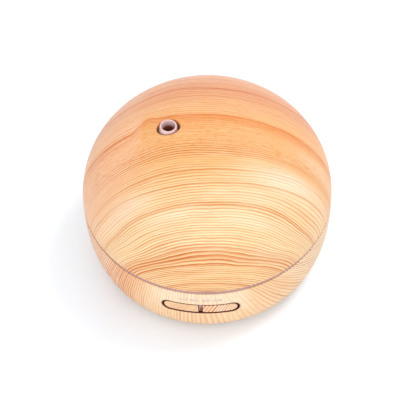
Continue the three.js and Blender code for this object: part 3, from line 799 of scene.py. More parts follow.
# Bold growth lines: (place, strength, width). Spacing and gain are (place, value) pairs: the
# distance between the fine lines, and their strength.
COVER_BOLD = (
    (-96.0, 0.5, 0.5), (-88.5, 0.8, 0.6), (-82.5, 0.6, 0.5), (-79.0, 1.0, 0.7), (-77.6, 0.8, 0.6),
    (-76.2, 1.0, 0.9), (-74.8, 1.0, 0.8), (-73.2, 0.8, 0.7), (-72.0, 0.8, 0.6), (-69.5, 0.75, 0.6),
    (-66.0, 0.6, 0.6), (-62.5, 0.6, 0.6), (-59.8, 0.75, 0.7), (-57.0, 0.4, 0.6), (-53.2, 0.95, 0.9),
    (-51.8, 1.0, 0.8), (-49.2, 0.4, 0.6), (-44.5, 0.3, 0.6), (-41.0, 0.95, 0.9), (-38.2, 0.5, 0.6),
    (-36.3, 0.7, 0.7), (-34.4, 0.6, 0.7), (-32.2, 1.0, 1.0), (-30.2, 0.5, 0.6), (-28.5, 0.55, 0.7),
    (-20.4, 0.9, 0.6), (-18.8, 1.0, 0.7), (-17.0, 0.8, 0.6), (-15.4, 0.6, 0.5), (-13.8, 0.8, 0.6),
    (0.0, 0.4, 0.8), (5.0, 0.5, 0.8), (7.6, 0.6, 1.0), (10.5, 1.0, 1.2), (22.0, 0.3, 1.2),
    (30.0, 0.6, 1.5), (33.4, 0.5, 1.2), (39.4, 0.9, 1.6), (46.0, 0.5, 1.5), (54.0, 0.6, 1.5),
    (64.0, 0.6, 1.5), (96.0, 0.5, 1.5),
)
COVER_SPACING = (
    (-96, 0.85), (-82, 0.95), (-66, 1.15), (-60, 1.5), (-46, 1.6), (-36, 1.4), (-24, 1.5), (-18, 1.35),
    (-6, 1.4), (8, 1.5), (20, 2.0), (30, 2.1), (96, 2.6),
)
COVER_GAIN = (
    (-96, 1.0), (-60, 1.0), (-54, 1.0), (-49, 0.85), (-44, 0.8), (-40, 0.85), (-30, 0.9), (-25, 0.85),
    (-20, 1.0), (-14, 0.9), (-4, 0.75), (8, 0.9), (14, 0.75), (24, 0.8), (34, 0.9), (96, 0.9),
)
# Paler clouds in the print: (x, line, reach in x, reach across the lines, strength).
PALE_CLOUDS = (
    (-50, -45, 22, 9, 0.85), (54, -35, 34, 13, 0.9), (34, -48, 20, 6, 0.6), (-20, -58, 26, 5, 0.6),
    (30, -61, 30, 5, 0.6), (12, -47, 16, 3, 0.5), (44, -74, 22, 6, 0.45), (74, -8, 26, 14, 0.6),
    (-62, -38, 22, 10, 0.6), (-72, -20, 22, 16, 0.65),
)
# A dark knot at the cover's lower edge: x, height, reach along and up, strength.
KNOT = {"x": 5.0, "z": 57.2, "along": 11.0, "up": 1.3, "strength": 0.32}

# On the base the lines run down from the seam and fan out. Places in the tables are degrees from
# the front, and by_arc turns them into millimetres round the seam.
DEGREE = RADIUS * math.radians(1)
BASE_BOLD = (
    (-180.0, 0.23, 0.6), (-150.0, 0.69, 0.7), (-132.0, 0.8, 0.8), (-128.0, 0.57, 0.7),
    (-104.0, 0.69, 0.8), (-84.0, 0.8, 0.8), (-80.0, 0.57, 0.7), (-62.0, 0.57, 0.6), (-60.0, 0.46, 0.4),
    (-44.0, 0.95, 0.5), (-42.0, 1.0, 0.6), (-40.2, 0.7, 0.4), (-38.6, 0.9, 0.5), (-36.8, 1.0, 0.6),
    (-34.2, 1.0, 0.6), (-30.0, 0.63, 0.7), (-18.0, 0.46, 0.6), (-8.0, 0.52, 0.6), (24.0, 0.57, 0.8),
    (32.5, 0.57, 0.8), (46.0, 1.0, 0.9), (50.0, 0.9, 0.7), (56.0, 0.9, 0.7), (60.0, 0.8, 0.7),
    (78.0, 0.69, 0.8), (98.0, 0.8, 0.8), (102.0, 0.57, 0.8), (126.0, 0.69, 0.8), (148.0, 0.8, 0.8),
    (152.0, 0.57, 0.8), (180.0, 0.23, 0.6),
)
BASE_SPACING = (
    (-180, 2.4), (-70, 2.0), (-46, 1.3), (-30, 1.4), (-20, 1.7), (0, 2.2), (20, 2.6), (44, 2.6),
    (180, 2.6),
)
BASE_GAIN = (
    (-180, 0.9), (-70, 0.9), (-46, 1.0), (-30, 0.85), (-20, 0.6), (-4, 0.6), (14, 0.4), (26, 0.8),
    (44, 1.0), (180, 0.9),
)


def by_arc(table):
    return [(degrees * DEGREE, *rest) for degrees, *rest in table]


def smoothstep(low, high, value):
    f = np.clip((value - low) / (high - low), 0, 1)
    return f * f * (3 - 2 * f)


def softplus(value, soft):
    """Value where it is positive and nothing where it isn't, with a soft bend between."""
    return soft * np.log1p(np.exp(np.clip(value / soft, -30, 30)))


def cover_line_shift(x, line):
    """How far a growth line has moved in Y at x, from its place along the middle."""
    rows = np.array(COVER_LINES)
    slope, left, right, fall = (np.interp(line, rows[:, 0], rows[:, i]) for i in (1, 2, 3, 4))
    shift = slope * x + np.where(x < 0, left, right) * x**2
    shift -= fall * softplus(KINK_X - x, 4.0)
    near = np.exp(-(((line - FOLD["line"]) / FOLD["spread"]) ** 2))
    step = smoothstep(0, FOLD["reach"], FOLD["x"] - x)
    bump = np.exp(-(((x - FOLD["x"]) / 5.0) ** 2))
    return shift + near * (FOLD["rise"] * bump - FOLD["drop"] * step)


def ring_phase(place, bold, spacing):
    """Ring count at each place: whole at the bold lines, evenly spread between them."""
    knots = np.array([line[0] for line in bold], float)
    wanted = np.interp((knots[1:] + knots[:-1]) / 2, *zip(*spacing))
    counts = np.maximum(1, np.round((knots[1:] - knots[:-1]) / wanted))
    phase = np.interp(place, knots, np.concatenate([[0], np.cumsum(counts)]))
    index = np.clip(np.searchsorted(knots, place) - 1, 0, len(counts) - 1)
    pitch = ((knots[1:] - knots[:-1]) / counts)[index]
    return phase, pitch


# Each grain field takes face corners and the centres of their faces, and gives at each corner:
# the place across the lines, the place along them, the ring count, the rings' pitch, the pink
# tint, the pale clouds, and the painted shade (in the well, round the key slot and on the keys'
# sunk parts) together with the printed knot.
def cover_grain(p, _):
    x, y, z = p.T
    drawn = STRETCH["share"] * softplus(STRETCH["from_z"] - z, STRETCH["soft"])
    across = y * (1 + drawn / np.maximum(np.hypot(x, y), 1))
    line = across.copy()
    for _ in range(30):
        line += 0.6 * (across - cover_line_shift(x, line) - line)
    phase, pitch = ring_phase(line, COVER_BOLD, COVER_SPACING)
    edge = 1.2 + 16 * smoothstep(9, 17, np.abs(y - 1.5))
    tint = smoothstep(-1, 1, (TINT_X - x) / edge) * smoothstep(-64, -34, across)
    pale = np.zeros_like(x)
    for cloud_x, cloud_line, reach_x, reach_line, strength in PALE_CLOUDS:
        away = ((x - cloud_x) / reach_x) ** 2 + ((line - cloud_line) / reach_line) ** 2
        pale = np.maximum(pale, strength * np.exp(-away))
    # Painted shade: the well's wall darkens the deeper it sinks below the dome.
    in_well = np.hypot(x - NOZZLE_X, y) < WELL_R + 0.1
    sunk = dome_z(np.minimum(np.hypot(x, y), RADIUS)) - z
    painted_shade_and_knot = np.where(in_well, 0.22 * smoothstep(0.5, 1.2, sunk), 0.0)
    knot = np.exp(-(((x - KNOT["x"]) / KNOT["along"]) ** 2) - ((z - KNOT["z"]) / KNOT["up"]) ** 2)
    painted_shade_and_knot = np.maximum(painted_shade_and_knot, np.where(y < 0, KNOT["strength"] * knot, 0.0))
    return line, x, phase, pitch, tint, pale, painted_shade_and_knot


def base_azimuth(p, centre):
    """Degrees round from the front, continuous across each face."""
    azimuth = np.degrees(np.arctan2(p[:, 0], -p[:, 1]))
    middle = np.degrees(np.arctan2(centre[:, 0], -centre[:, 1]))
    azimuth = np.where(azimuth - middle > 180, azimuth - 360, azimuth)
    return np.where(azimuth - middle < -180, azimuth + 360, azimuth)


def base_grain(p, centre):
    azimuth = base_azimuth(p, centre)
    x, y, z = p.T
    side = np.abs(azimuth)
    fade = 1 - smoothstep(95, 170, side)
    fan = np.where(azimuth > 0, 0.020, 0.0065) * fade
    line = azimuth / (1 + fan * (SEAM_Z - z)) * DEGREE
    phase, pitch = ring_phase(line, by_arc(BASE_BOLD), by_arc(BASE_SPACING))
    # Painted shade: a dark line round the key slot's rim, thicker at its ends, and the slot's wall darkened
    # with depth.
    depth = bowl_radius(np.clip(z, BASE_Z, SHELL_TOP)) - np.hypot(x, y)
    near_slot = (np.abs(x) < 32) & (y < 0) & (z > 27) & (z < 43.5)
    end = smoothstep(17, 23, np.abs(x))
    beyond = np.hypot(np.maximum(np.abs(x) - SLOT_SPINE, 0), z - SLOT_Z) - SLOT_R - SLOT_RIM
    edge = 1 - smoothstep(-0.1 + 0.2 * end, 0.2 + 0.5 * end, beyond)
    painted_shade_and_knot = np.where(near_slot, np.maximum(edge, smoothstep(0.2, 0.5, depth)), 0.0)
    pale = 0.72 * smoothstep(27, 33, z) * (1 - smoothstep(17, 27, side))
    return line, z, phase, pitch, np.zeros_like(line), pale, painted_shade_and_knot


def button_grain(lean, pitch_mm):
    """The field of a button, whose lines lean from the vertical."""

    def field(p, _):
        x, y, z = p.T
        line = x - lean * (z - SLOT_Z)
        pitch = np.full_like(line, pitch_mm)
        # Painted shade: the key darkens where it sits back behind the shell's face.
        depth = y - bowl_front(x, np.clip(z, BASE_Z, SHELL_TOP))
        painted_shade_and_knot = smoothstep(0.28, 0.6, depth)
        plain = np.zeros_like(line)
        return line, z, line / pitch_mm + 200, pitch, plain, plain, painted_shade_and_knot

    return field


def values_of(items, name, size=1, kind=int):
    """One of the properties of a mesh's vertices, corners or faces."""
    values = np.zeros(len(items) * size, kind)
    items.foreach_get(name, values)
    return values


def store_grain(obj, field):
    """Keeps the field's values on the mesh's face corners, as attributes that the film reads."""
    mesh = obj.data
    coords = values_of(mesh.vertices, "co", 3, float).reshape(-1, 3) / MM
    corners = coords[values_of(mesh.loops, "vertex_index")]
    starts = values_of(mesh.polygons, "loop_start")
    totals = values_of(mesh.polygons, "loop_total")
    centres = np.add.reduceat(corners, starts, axis=0) / totals[:, None]
    line, along, phase, pitch, tint, pale, painted_shade_and_knot = field(corners, np.repeat(centres, totals, axis=0))
    grain = mesh.attributes.new("grain", "FLOAT_VECTOR", "CORNER")
    grain.data.foreach_set("vector", np.stack([line, along, phase], axis=1).ravel())
    extra = mesh.attributes.new("extra", "FLOAT_VECTOR", "CORNER")
    extra.data.foreach_set("vector", np.stack([pitch, tint, pale], axis=1).ravel())
    mesh.attributes.new("painted_shade_and_knot", "FLOAT", "CORNER").data.foreach_set("value", painted_shade_and_knot)


# ---------------------------------------------------------------- materials
# The studio is lit this much brighter than a true white, so the floor burns out.
EXPOSURE = 1.4
# The surface's own gloss adds this much white light to every colour.
GLOSS = 0.02


def rgb(r, g, b):
    """The linear albedo of an sRGB colour, 0 to 255, as it looks under the studio's light."""
    values = [v / 255 for v in (r, g, b)]
    linear = [v / 12.92 if v <= 0.04045 else ((v + 0.055) / 1.055) ** 2.4 for v in values]
    return tuple(max(v - GLOSS, 0.004) / EXPOSURE for v in linear)


class Nodes:
    """A material's node tree, built by calls that return sockets."""

    def __init__(self, name):
        self.material = bpy.data.materials.new(name)
        self.material.use_nodes = True
        self.tree = self.material.node_tree
        self.tree.nodes.clear()

    def add(self, kind, inputs=(), **settings):
        made = self.tree.nodes.new(kind)
        for key, value in settings.items():
            setattr(made, key, value)
        for key, value in dict(inputs).items():
            self.feed(made.inputs[key], value)
        return made

    def feed(self, socket, value):
        if isinstance(value, bpy.types.NodeSocket):
            self.tree.links.new(value, socket)
        elif value is not None:
            socket.default_value = value

    def math(self, operation, a, b=None):
        return self.add("ShaderNodeMath", {0: a, 1: b}, operation=operation).outputs[0]

    def times(self, a, b):
        return self.math("MULTIPLY", a, b)

    def plus(self, a, b):
        return self.math("ADD", a, b)

    def mapped(self, value, low, high, to_low=0.0, to_high=1.0, kind="SMOOTHSTEP"):
        inputs = {0: value, 1: low, 2: high, 3: to_low, 4: to_high}
        return self.add("ShaderNodeMapRange", inputs, interpolation_type=kind).outputs[0]

    def uneven(self, value, low, high):
        """A noise's middle values spread evenly from low to high."""
        return self.mapped(value, 0.3, 0.7, low, high, "LINEAR")

    def vector(self, x, y, z=0.0):
        return self.add("ShaderNodeCombineXYZ", {0: x, 1: y, 2: z}).outputs[0]

    def split(self, vector):
        return self.add("ShaderNodeSeparateXYZ", {0: vector}).outputs

    def noise(self, vector, scale=1.0, detail=2.0, roughness=0.5):
        inputs = {"Vector": vector, "Scale": scale, "Detail": detail, "Roughness": roughness}
        return self.add("ShaderNodeTexNoise", inputs).outputs["Fac"]

    def random(self, value):
        return self.add("ShaderNodeTexWhiteNoise", {"W": value}, noise_dimensions="1D").outputs["Value"]

    def mix(self, factor, a, b):
        made = self.add("ShaderNodeMix", data_type="RGBA")
        for socket, value in zip((made.inputs[0], made.inputs[6], made.inputs[7]), (factor, a, b)):
            self.feed(socket, (*value, 1.0) if isinstance(value, tuple) else value)
        return made.outputs[2]

    def ramp(self, factor, stops):
        made = self.add("ShaderNodeValToRGB", {0: factor})
        band = made.color_ramp
        while len(band.elements) > 1:
            band.elements.remove(band.elements[-1])
        for i, (place, colour) in enumerate(stops):
            element = band.elements[0] if i == 0 else band.elements.new(place)
            element.position = place
            element.color = (*colour, 1.0)
        return made.outputs[0]

    def object_point(self):
        """The point on the object, in millimetres."""
        point = self.add("ShaderNodeTexCoord").outputs["Object"]
        scaled = self.add("ShaderNodeVectorMath", {0: point}, operation="SCALE")
        scaled.inputs["Scale"].default_value = 1 / MM
        return scaled.outputs[0]

    def bump(self, height, distance, strength=1.0):
        inputs = {"Height": height, "Distance": distance * MM, "Strength": strength}
        return self.add("ShaderNodeBump", inputs).outputs["Normal"]

    def surface(self, **inputs):
        shader = self.add("ShaderNodeBsdfPrincipled")
        for key, value in inputs.items():
            name = key.replace("_", " ")
            if isinstance(value, tuple) and name.endswith("Color"):
                value = (*value, 1.0)
            self.feed(shader.inputs[name], value)
        output = self.add("ShaderNodeOutputMaterial")
        self.tree.links.new(shader.outputs[0], output.inputs[0])
        return self.material


def grey(value):
    return (value,) * 3


def place_stops(stops, low, high):
    """Ramp stops from (millimetres, sRGB colour) pairs."""
    return [((place - low) / (high - low), rgb(*colour)) for place, colour in stops]


COVER_EARLY = (
    (-96, (246, 206, 150)), (-84, (252, 216, 162)), (-77, (251, 213, 158)), (-72, (253, 222, 172)),
    (-64, (252, 223, 176)), (-56, (251, 222, 176)), (-52, (250, 215, 166)), (-44, (250, 213, 162)),
    (-39, (250, 210, 157)), (-28, (248, 197, 138)), (-20, (245, 190, 130)), (-12, (246, 191, 130)),
    (-4, (246, 192, 132)), (3, (244, 184, 124)), (7, (242, 170, 108)), (10.5, (242, 170, 108)),
    (11.5, (248, 197, 142)), (20, (247, 195, 144)), (30, (244, 185, 138)), (39, (241, 176, 132)),
    (50, (246, 191, 150)), (96, (246, 192, 156)),
)
COVER_LATE = (
    (-96, (200, 114, 56)), (-76, (200, 108, 48)), (-66, (206, 132, 70)), (-58, (204, 134, 76)),
    (-52, (206, 126, 66)), (-41, (202, 130, 70)), (-28, (208, 132, 68)), (-19, (202, 114, 54)),
    (0, (222, 142, 80)), (10, (218, 128, 66)), (20, (216, 138, 82)), (39, (206, 118, 76)),
    (96, (208, 128, 90)),
)
BASE_EARLY = (
    (-180, (248, 206, 162)), (-66, (250, 213, 176)), (-46, (250, 212, 174)), (-34, (246, 192, 142)),
    (-22, (253, 220, 176)), (-6, (254, 218, 172)), (18, (253, 216, 170)), (32, (250, 210, 162)),
    (42, (255, 232, 194)), (90, (254, 228, 190)), (180, (248, 206, 162)),
)
BASE_LATE = (
    (-180, (216, 136, 82)), (-38, (194, 100, 54)), (-22, (204, 122, 66)), (20, (208, 126, 66)),
    (60, (196, 122, 58)), (180, (216, 136, 82)),
)


class FilmNodes(Nodes):
    """The print's fields, read from the mesh, and noise drawn out along its lines."""

    def __init__(self, name, seed):
        super().__init__(name)
        self.seed = seed
        line, self.along, phase = self.split(self.attribute("grain").outputs["Vector"])
        pitch, self.tint, self.pale = self.split(self.attribute("extra").outputs["Vector"])
        self.painted_shade_and_knot = self.attribute("painted_shade_and_knot").outputs["Fac"]
        self.line = line
        slow = self.times(self.math("SUBTRACT", self.streaks(0.045, 0.028, 0.0, 1.0), 0.5), 2.0)
        quick = self.times(self.math("SUBTRACT", self.streaks(0.25, 0.11, 5.0, 1.0), 0.5), 0.6)
        wobble = self.plus(slow, quick)
        self.line = self.plus(line, wobble)
        self.phase = self.plus(phase, self.math("DIVIDE", wobble, pitch))

    def attribute(self, name):
        return self.add("ShaderNodeAttribute", attribute_name=name)

    def streaks(self, across, length, shift, detail=2.0, roughness=0.5):
        """Noise at a scale across the lines and another along them."""
        point = self.vector(self.times(self.line, across), self.times(self.along, length), self.seed + shift)
        return self.noise(point, 1.0, detail, roughness)

    def blend(self, colour, other, amount, mask):
        return self.mix(self.times(mask, amount), colour, other)


def growth_lines(n, bold, gain, span, thin):
    """How dark the late wood is: fine rings that come and go, and the bold lines over them."""
    low, high = span
    where = n.mapped(n.line, low, high, 0.0, 1.0, "LINEAR")
    part = n.math("FRACT", n.phase)
    ring = n.math("FLOOR", n.phase)
    rise = n.mapped(part, 0.4, 0.8)
    fall = n.mapped(part, 0.88, 1.0, 1.0, 0.0)
    strength = n.mapped(n.random(n.plus(ring, n.seed)), 0.0, 1.0, *thin, "LINEAR")
    fade_at = n.vector(n.times(ring, 3.7), n.times(n.along, 0.03), n.seed + 9)
    strength = n.times(strength, n.mapped(n.noise(fade_at, 1.0, 1.0), 0.3, 0.62, 0.7, 1.0))
    gains = n.ramp(where, [((place - low) / (high - low), grey(value)) for place, value in gain])
    lines = n.times(n.times(rise, fall), n.times(strength, gains))
    for place, power, width in bold:
        up = n.mapped(n.line, place - 1.7 * width, place - 0.1, 0.0, power)
        down = n.mapped(n.line, place - 0.1, place + 0.3 * width, 1.0, 0.0)
        lines = n.math("MAXIMUM", lines, n.times(up, down))
    lines = n.times(lines, n.mapped(n.streaks(0.9, 0.02, 2.0), 0.3, 0.6, 0.8, 1.1))
    return n.times(lines, n.mapped(n.pale, 0.0, 1.0, 1.0, 0.35, "LINEAR"))


def film_colour(n, lines, fine, early, late, span, speckled):
    """Early and late wood, with pale clouds, a pink tint, fibres and flecks, and painted shade in dark
    brown, which the printed knot shares.
    """
    low, high = span
    where = n.mapped(n.line, low, high, 0.0, 1.0, "LINEAR")
    light = n.ramp(where, place_stops(early, low, high))
    dark = n.ramp(where, place_stops(late, low, high))
    light = n.blend(light, rgb(255, 238, 214), n.pale, n.pale)
    light = n.blend(light, rgb(252, 204, 166), 0.85, n.tint)
    colour = n.mix(lines, light, dark)
    colour = n.blend(colour, dark, 0.14, fine)
    colour = n.blend(colour, dark, 0.2, n.mapped(n.streaks(0.7, 0.025, 6.0, 3.0, 0.6), 0.42, 0.7))
    bright = n.mapped(n.streaks(1.1, 0.05, 7.0, 3.0, 0.6), 0.52, 0.72)
    colour = n.blend(colour, rgb(255, 240, 216), 0.22, bright)
    amount = 0.12
    if speckled:
        start, end = speckled
        up = n.mapped(n.line, start - 4, start, 0.08, 0.5)
        amount = n.times(up, n.mapped(n.line, end, end + 4, 1.0, 0.4))
    colour = n.blend(colour, dark, amount, n.mapped(n.streaks(0.95, 0.22, 3.0, 3.0, 0.75), 0.5, 0.64))
    # Painted shade: the well, the key slot's rim and wall and the keys' sunk parts turn dark brown; the knot
    # mark shares this colour and is print.
    return n.mix(n.painted_shade_and_knot, colour, rgb(104, 52, 26))


def wood_film(name, bold, early, late, gain, span, thin=(0.7, 1.0), seed=0.0, speckled=None):
    """Printed pine film. The tables give its bold lines, colours and line strength across the span."""
    n = FilmNodes(name, seed)
    lines = growth_lines(n, bold, gain, span, thin)
    fine = n.uneven(n.streaks(2.2, 0.07, 1.0, 4.0, 0.6), 0.0, 1.0)
    rough = n.uneven(n.noise(n.object_point(), 0.35, 3.0), 0.36, 0.44)
    relief = n.math("SUBTRACT", n.times(fine, 0.3), lines)
    return n.surface(
        Base_Color=film_colour(n, lines, fine, early, late, span, speckled),
        Roughness=n.plus(rough, n.times(lines, 0.06)),
        IOR=1.46,
        Specular_IOR_Level=0.25,
        Coat_Weight=0.06,
        Coat_Roughness=0.25,
        Normal=n.bump(relief, 0.03, 0.6),
    )


def moulded(name, light, dark, rough=(0.35, 0.45), grain_mm=0.5, depth=0.01, **more):
    """Moulded plastic or rubber: slight clouding, fine pitted texture and uneven gloss."""
    n = Nodes(name)
    point = n.object_point()
    cloud = n.noise(point, 0.06, 4.0)
    speck = n.noise(point, 1 / grain_mm, 2.0)
    tone = n.plus(n.times(cloud, 0.7), n.times(speck, 0.3))
    colour = n.mix(n.mapped(tone, 0.35, 0.65), rgb(*light), rgb(*dark))
    gloss = n.uneven(n.noise(point, 0.2, 3.0), *rough)
    return n.surface(Base_Color=colour, Roughness=gloss, Normal=n.bump(speck, depth), **more)


def brushed(name, light, dark, rough=(0.22, 0.38), stretch=(1.0, 1.0, 12.0)):
    """Metal with fine drawn marks."""
    n = Nodes(name)
    point = n.object_point()
    marks_at = n.vector(*(n.times(axis, share) for axis, share in zip(n.split(point), stretch)))
    marks = n.noise(marks_at, 0.8, 4.0, 0.7)
    tone = n.plus(n.times(marks, 0.6), n.times(n.noise(point, 0.15, 3.0), 0.4))
    colour = n.mix(n.mapped(tone, 0.3, 0.7), rgb(*light), rgb(*dark))
    gloss = n.uneven(marks, *rough)
    return n.surface(Base_Color=colour, Roughness=gloss, Metallic=1.0, Normal=n.bump(marks, 0.01))


def copper_wire():
    """Windings: thin turns stacked up the coil, with painted shade in the grooves between them."""
    n = Nodes("copper_winding")
    point = n.object_point()
    groove = n.mapped(n.math("PINGPONG", n.split(point)[2], 0.25), 0.0, 0.12)
    varnish = n.noise(point, 0.4, 3.0)
    base = n.mix(n.mapped(varnish, 0.35, 0.65), rgb(196, 118, 62), rgb(168, 92, 44))
    # Painted shade: dark brown in the grooves between the turns.
    colour = n.mix(groove, rgb(86, 42, 20), base)
    rough = n.uneven(varnish, 0.25, 0.4)
    return n.surface(Base_Color=colour, Roughness=rough, Metallic=0.85, Normal=n.bump(groove, 0.08))


def board_mask():
    """Green solder mask over tracks, with a weave showing through."""
    n = Nodes("solder_mask")
    point = n.object_point()
    x, y, _ = n.split(point)
    weave = n.plus(n.math("PINGPONG", x, 0.35), n.math("PINGPONG", y, 0.35))
    bent = n.plus(y, n.times(n.noise(point, 0.12, 1.0), 6.0))
    track = n.mapped(n.math("PINGPONG", bent, 1.6), 0.5, 0.62)
    copper = n.times(track, n.mapped(n.noise(point, 0.09, 2.0), 0.45, 0.5))
    mask = n.mix(n.mapped(weave, 0.2, 0.6), rgb(26, 92, 50), rgb(32, 104, 58))
    colour = n.mix(copper, mask, rgb(52, 134, 74))
    rough = n.uneven(n.noise(point, 0.5, 2.0), 0.28, 0.4)
    return n.surface(Base_Color=colour, Roughness=rough, Normal=n.bump(copper, 0.03))


def nozzle_plastic():
    """Lilac plastic, with the bore below the rim painted brown: painted shade of the deep bore, with the
    cover's orange as a painted reflection.
    """
    n = Nodes("outlet_plastic")
    point = n.object_point()
    x, y, z = n.split(point)
    beside = n.math("SUBTRACT", x, NOZZLE_X)
    reach = n.math("SQRT", n.plus(n.times(beside, beside), n.times(y, y)))
    inside = n.mapped(reach, 4.7, 4.8, 1.0, 0.0)
    low = n.mapped(z, nozzle_high[2] - 5.4, nozzle_high[2] - 3.4, 1.0, 0.0)
    cloud = n.mapped(n.noise(point, 0.3, 3.0), 0.35, 0.65)
    lilac = n.mix(cloud, rgb(236, 205, 202), rgb(226, 192, 190))
    # Painted shade and painted reflection: deep in the bore the lilac turns brown.
    colour = n.mix(n.times(inside, low), lilac, rgb(176, 106, 82))
    speck = n.noise(point, 1.5, 2.0)
    rough = n.mapped(cloud, 0.0, 1.0, 0.28, 0.38, "LINEAR")
    return n.surface(Base_Color=colour, Roughness=rough, Normal=n.bump(speck, 0.005))


def frame_plastic():
    """The carrier between the keys: dark brown, with painted light: the rib's side towards the light key
    painted pale as if lit, and a painted mauve highlight along its top.
    """
    n = Nodes("brown_carrier")
    point = n.object_point()
    x, _, z = n.split(point)
    cloud = n.mapped(n.noise(point, 0.5, 3.0), 0.35, 0.65)
    brown = n.mix(cloud, rgb(150, 92, 74), rgb(122, 66, 48))
    # Painted highlight: the top of the rib turns mauve.
    top = n.mapped(z, SLOT_Z - 1.0, SLOT_Z + 3.5)
    brown = n.mix(top, brown, rgb(196, 156, 156))
    # Painted light: the rib's side towards the light key is painted pale, as its lit side.
    pale = n.mapped(x, -0.8, -0.4, 1.0, 0.0)
    colour = n.mix(pale, brown, rgb(222, 186, 168))
    speck = n.noise(point, 2.5, 2.0)
    rough = n.mapped(cloud, 0.0, 1.0, 0.4, 0.55, "LINEAR")
    return n.surface(Base_Color=colour, Roughness=rough, Normal=n.bump(speck, 0.01))


MATERIALS = {
    "white_plastic": moulded("white_polypropylene", (244, 242, 238), (236, 233, 227)),
    "milky_plastic": moulded(
        "milky_diffuser",
        (190, 146, 146),
        (178, 132, 132),
        (0.3, 0.4),
        0.8,
        0.005,
        Subsurface_Weight=0.35,
        Subsurface_Radius=(0.003, 0.002, 0.002),
    ),
    "silicone": moulded("clear_silicone", (222, 222, 220), (208, 208, 206), (0.45, 0.6), 0.4),
    "steel_disc": brushed("steel_disc", (206, 204, 200), (178, 176, 172), stretch=(3.0, 3.0, 1.0)),
    "copper_coil": copper_wire(),
    "heat_sink_metal": brushed("extruded_aluminium", (198, 200, 204), (170, 172, 176)),
    "screw_steel": brushed("screw_steel", (190, 190, 188), (150, 150, 150), (0.25, 0.4)),
    "dark_plastic": frame_plastic(),
    "black_plastic": moulded("black_nylon", (36, 36, 38), (26, 26, 27), (0.42, 0.6), 0.35),
    "capacitor_sleeve": moulded("capacitor_sleeve", (38, 44, 66), (28, 33, 52), (0.25, 0.4), 0.9),
    "circuit_board": board_mask(),
    "lamp_epoxy": moulded("lamp_epoxy", (250, 240, 196), (244, 226, 160), (0.18, 0.3), 0.9, 0.004),
    "foot_rubber": moulded("foot_rubber", (150, 146, 138), (132, 128, 120), (0.75, 0.9), 0.3, 0.03),
    "wire_insulation": moulded("wire_insulation", (178, 40, 34), (158, 32, 28), (0.35, 0.5), 0.6),
}


# ---------------------------------------------------------------- the object
SLOT_OF = {part["node"]: part["material_slot"] for part in frame["record"]["subparts"]}
COVER_SPAN = (-96.0, 96.0)
BASE_SPAN = (-180 * DEGREE, 180 * DEGREE)

cover_film = wood_film(
    "pine_film_cover", COVER_BOLD, COVER_EARLY, COVER_LATE, COVER_GAIN, COVER_SPAN, speckled=(-15, 9)
)
base_tables = [by_arc(table) for table in (BASE_BOLD, BASE_EARLY, BASE_LATE, BASE_GAIN)]
base_film = wood_film("pine_film_base", *base_tables, BASE_SPAN, seed=40.0)

KEY_SPAN = (-40, 40)
# The mist key has four wide lines near the middle and finer ones out to its round end.
MIST_KEY_BOLD = [(1.8 + 2.6 * i, 1.0, 1.3) for i in range(4)]
MIST_KEY_BOLD += [(11.5 + 1.9 * i, 0.9, 0.8) for i in range(9)]


def key_film(name, bold, early, late, thin, seed):
    """The film of a button, with one early and one late colour all along."""
    early, late, gain = ([(end, value) for end in KEY_SPAN] for value in (early, late, 1.0))
    return wood_film(name, bold, early, late, gain, KEY_SPAN, thin, seed)


light_film = key_film("pine_film_light_key", (), (247, 207, 163), (192, 118, 66), (0.2, 0.75), 71.0)
mist_film = key_film(
    "pine_film_mist_key", MIST_KEY_BOLD, (255, 238, 206), (212, 116, 46), (0.0, 0.3), 83.0
)

cover = make_cover()
store_grain(cover, cover_grain)
finish(cover, "cover", cover_film)
finish(make_cover_lugs(), "cover", MATERIALS["white_plastic"])
finish(make_liner(), "cover", MATERIALS["white_plastic"])
finish(make_nozzle(), "nozzle", nozzle_plastic())

shell = make_base_shell()
store_grain(shell, base_grain)
finish(shell, "base", base_film)
finish(make_ring(), "base", MATERIALS["milky_plastic"])
finish(make_gasket(), "base", MATERIALS["silicone"])

light_key = make_button(-1, "light_key_cap", "light_button")
store_grain(light_key, button_grain(0.6, 1.9))
finish(light_key, "light_key", light_film)
mist_key = make_button(1, "mist_key_cap", "mist_button")
store_grain(mist_key, button_grain(0.48, 1.35))
finish(mist_key, "mist_key", mist_film)

window_plastic = moulded("window_plastic", (232, 208, 196), (220, 194, 184), (0.3, 0.4), 0.6, 0.004)
for index, x in enumerate(LENS_XS, 1):
    finish(make_lens(index, x), "base", window_plastic)
for index in range(1, 5):
    finish(make_foot(index), "base", MATERIALS["foot_rubber"])

BODY_OF = {n: body for body, nodes in frame["record"]["behaviour"]["bodies"].items() for n in nodes}
BEVELS = {"water_tank": 0.4, "air_outlet_cap": 0.5, "bottom_cover": 0.25, "power_jack": 0.25}
BEVELS |= {"fan_frame": 0.3, "fan_rotor": 0.2, "piezo_clamp": 0.2, "heat_sink": 0.15}
for node, bevel in BEVELS.items():
    slot = SLOT_OF[node]
    finish(refined(node, f"{node}_finished", bevel), BODY_OF[node], MATERIALS[slot])

for node, obj in frame["nodes"].items():
    if obj.hide_render:
        continue
    obj.data.materials.clear()
    obj.data.materials.append(MATERIALS[SLOT_OF[node]])


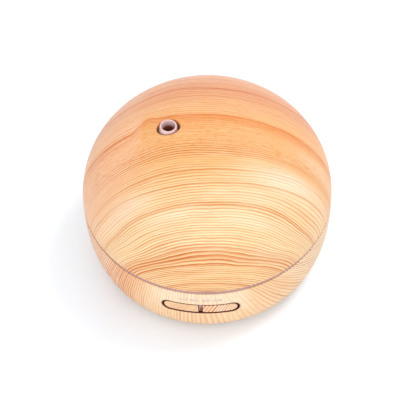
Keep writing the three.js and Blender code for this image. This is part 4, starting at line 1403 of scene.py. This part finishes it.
# ---------------------------------------------------------------- the scene
def make_floor():
    """A wide plain sheet under the object."""
    half = 6.0
    verts = [(x, y, 0) for x, y in rectangle(-half, -half, half, half)]
    mesh = bpy.data.meshes.new("floor")
    mesh.from_pydata(verts, [], [(0, 1, 2, 3)])
    floor = linked("floor", mesh)
    n = Nodes("floor_paper")
    point = n.object_point()
    paper = n.noise(point, 0.02, 3.0)
    colour = n.mix(n.mapped(paper, 0.3, 0.7), (0.76, 0.80, 0.845), (0.75, 0.79, 0.835))
    mesh.materials.append(n.surface(Base_Color=colour, Roughness=0.9, Specular_IOR_Level=0.1))


def add_light(name, place, size, power):
    """A round lamp aimed at the middle of the object."""
    data = bpy.data.lights.new(name, "AREA")
    data.shape = "DISK"
    data.size = size
    data.energy = power
    light = linked(name, data)
    light.location = place
    aim = Vector((0, 0, 0.05)) - Vector(place)
    light.rotation_euler = aim.to_track_quat("-Z", "Y").to_euler()


def make_world():
    world = bpy.data.worlds.new("studio")
    bpy.context.scene.world = world
    world.use_nodes = True
    sky = world.node_tree.nodes["Background"]
    sky.inputs["Color"].default_value = (1.0, 1.0, 1.0, 1.0)
    sky.inputs["Strength"].default_value = 1.2


def make_camera():
    azimuth = math.radians(4.4)
    elevation = math.radians(51.6)
    distance = 1.0223
    target = Vector((0, 0, 0.054))
    level = math.cos(elevation)
    away = Vector((math.sin(azimuth) * level, -math.cos(azimuth) * level, math.sin(elevation)))
    data = bpy.data.cameras.new("camera")
    data.sensor_width = 36.0
    data.lens = 135.8
    data.shift_x = -0.018
    data.shift_y = -0.0214
    data.clip_end = 50.0
    camera = linked("camera", data)
    camera.location = target + away * distance
    aim = (-away).to_track_quat("-Z", "Y")
    roll = Matrix.Rotation(math.radians(-1.5), 4, "Z")
    camera.rotation_euler = (aim.to_matrix().to_4x4() @ roll).to_euler()
    bpy.context.scene.camera = camera


make_floor()
make_world()
add_light("key", (0.95, 0.55, 1.9), 0.8, 18.0)
add_light("fill", (-0.15, -2.05, 0.85), 1.7, 25.0)
make_camera()
bpy.context.scene.view_settings.view_transform = "Standard"
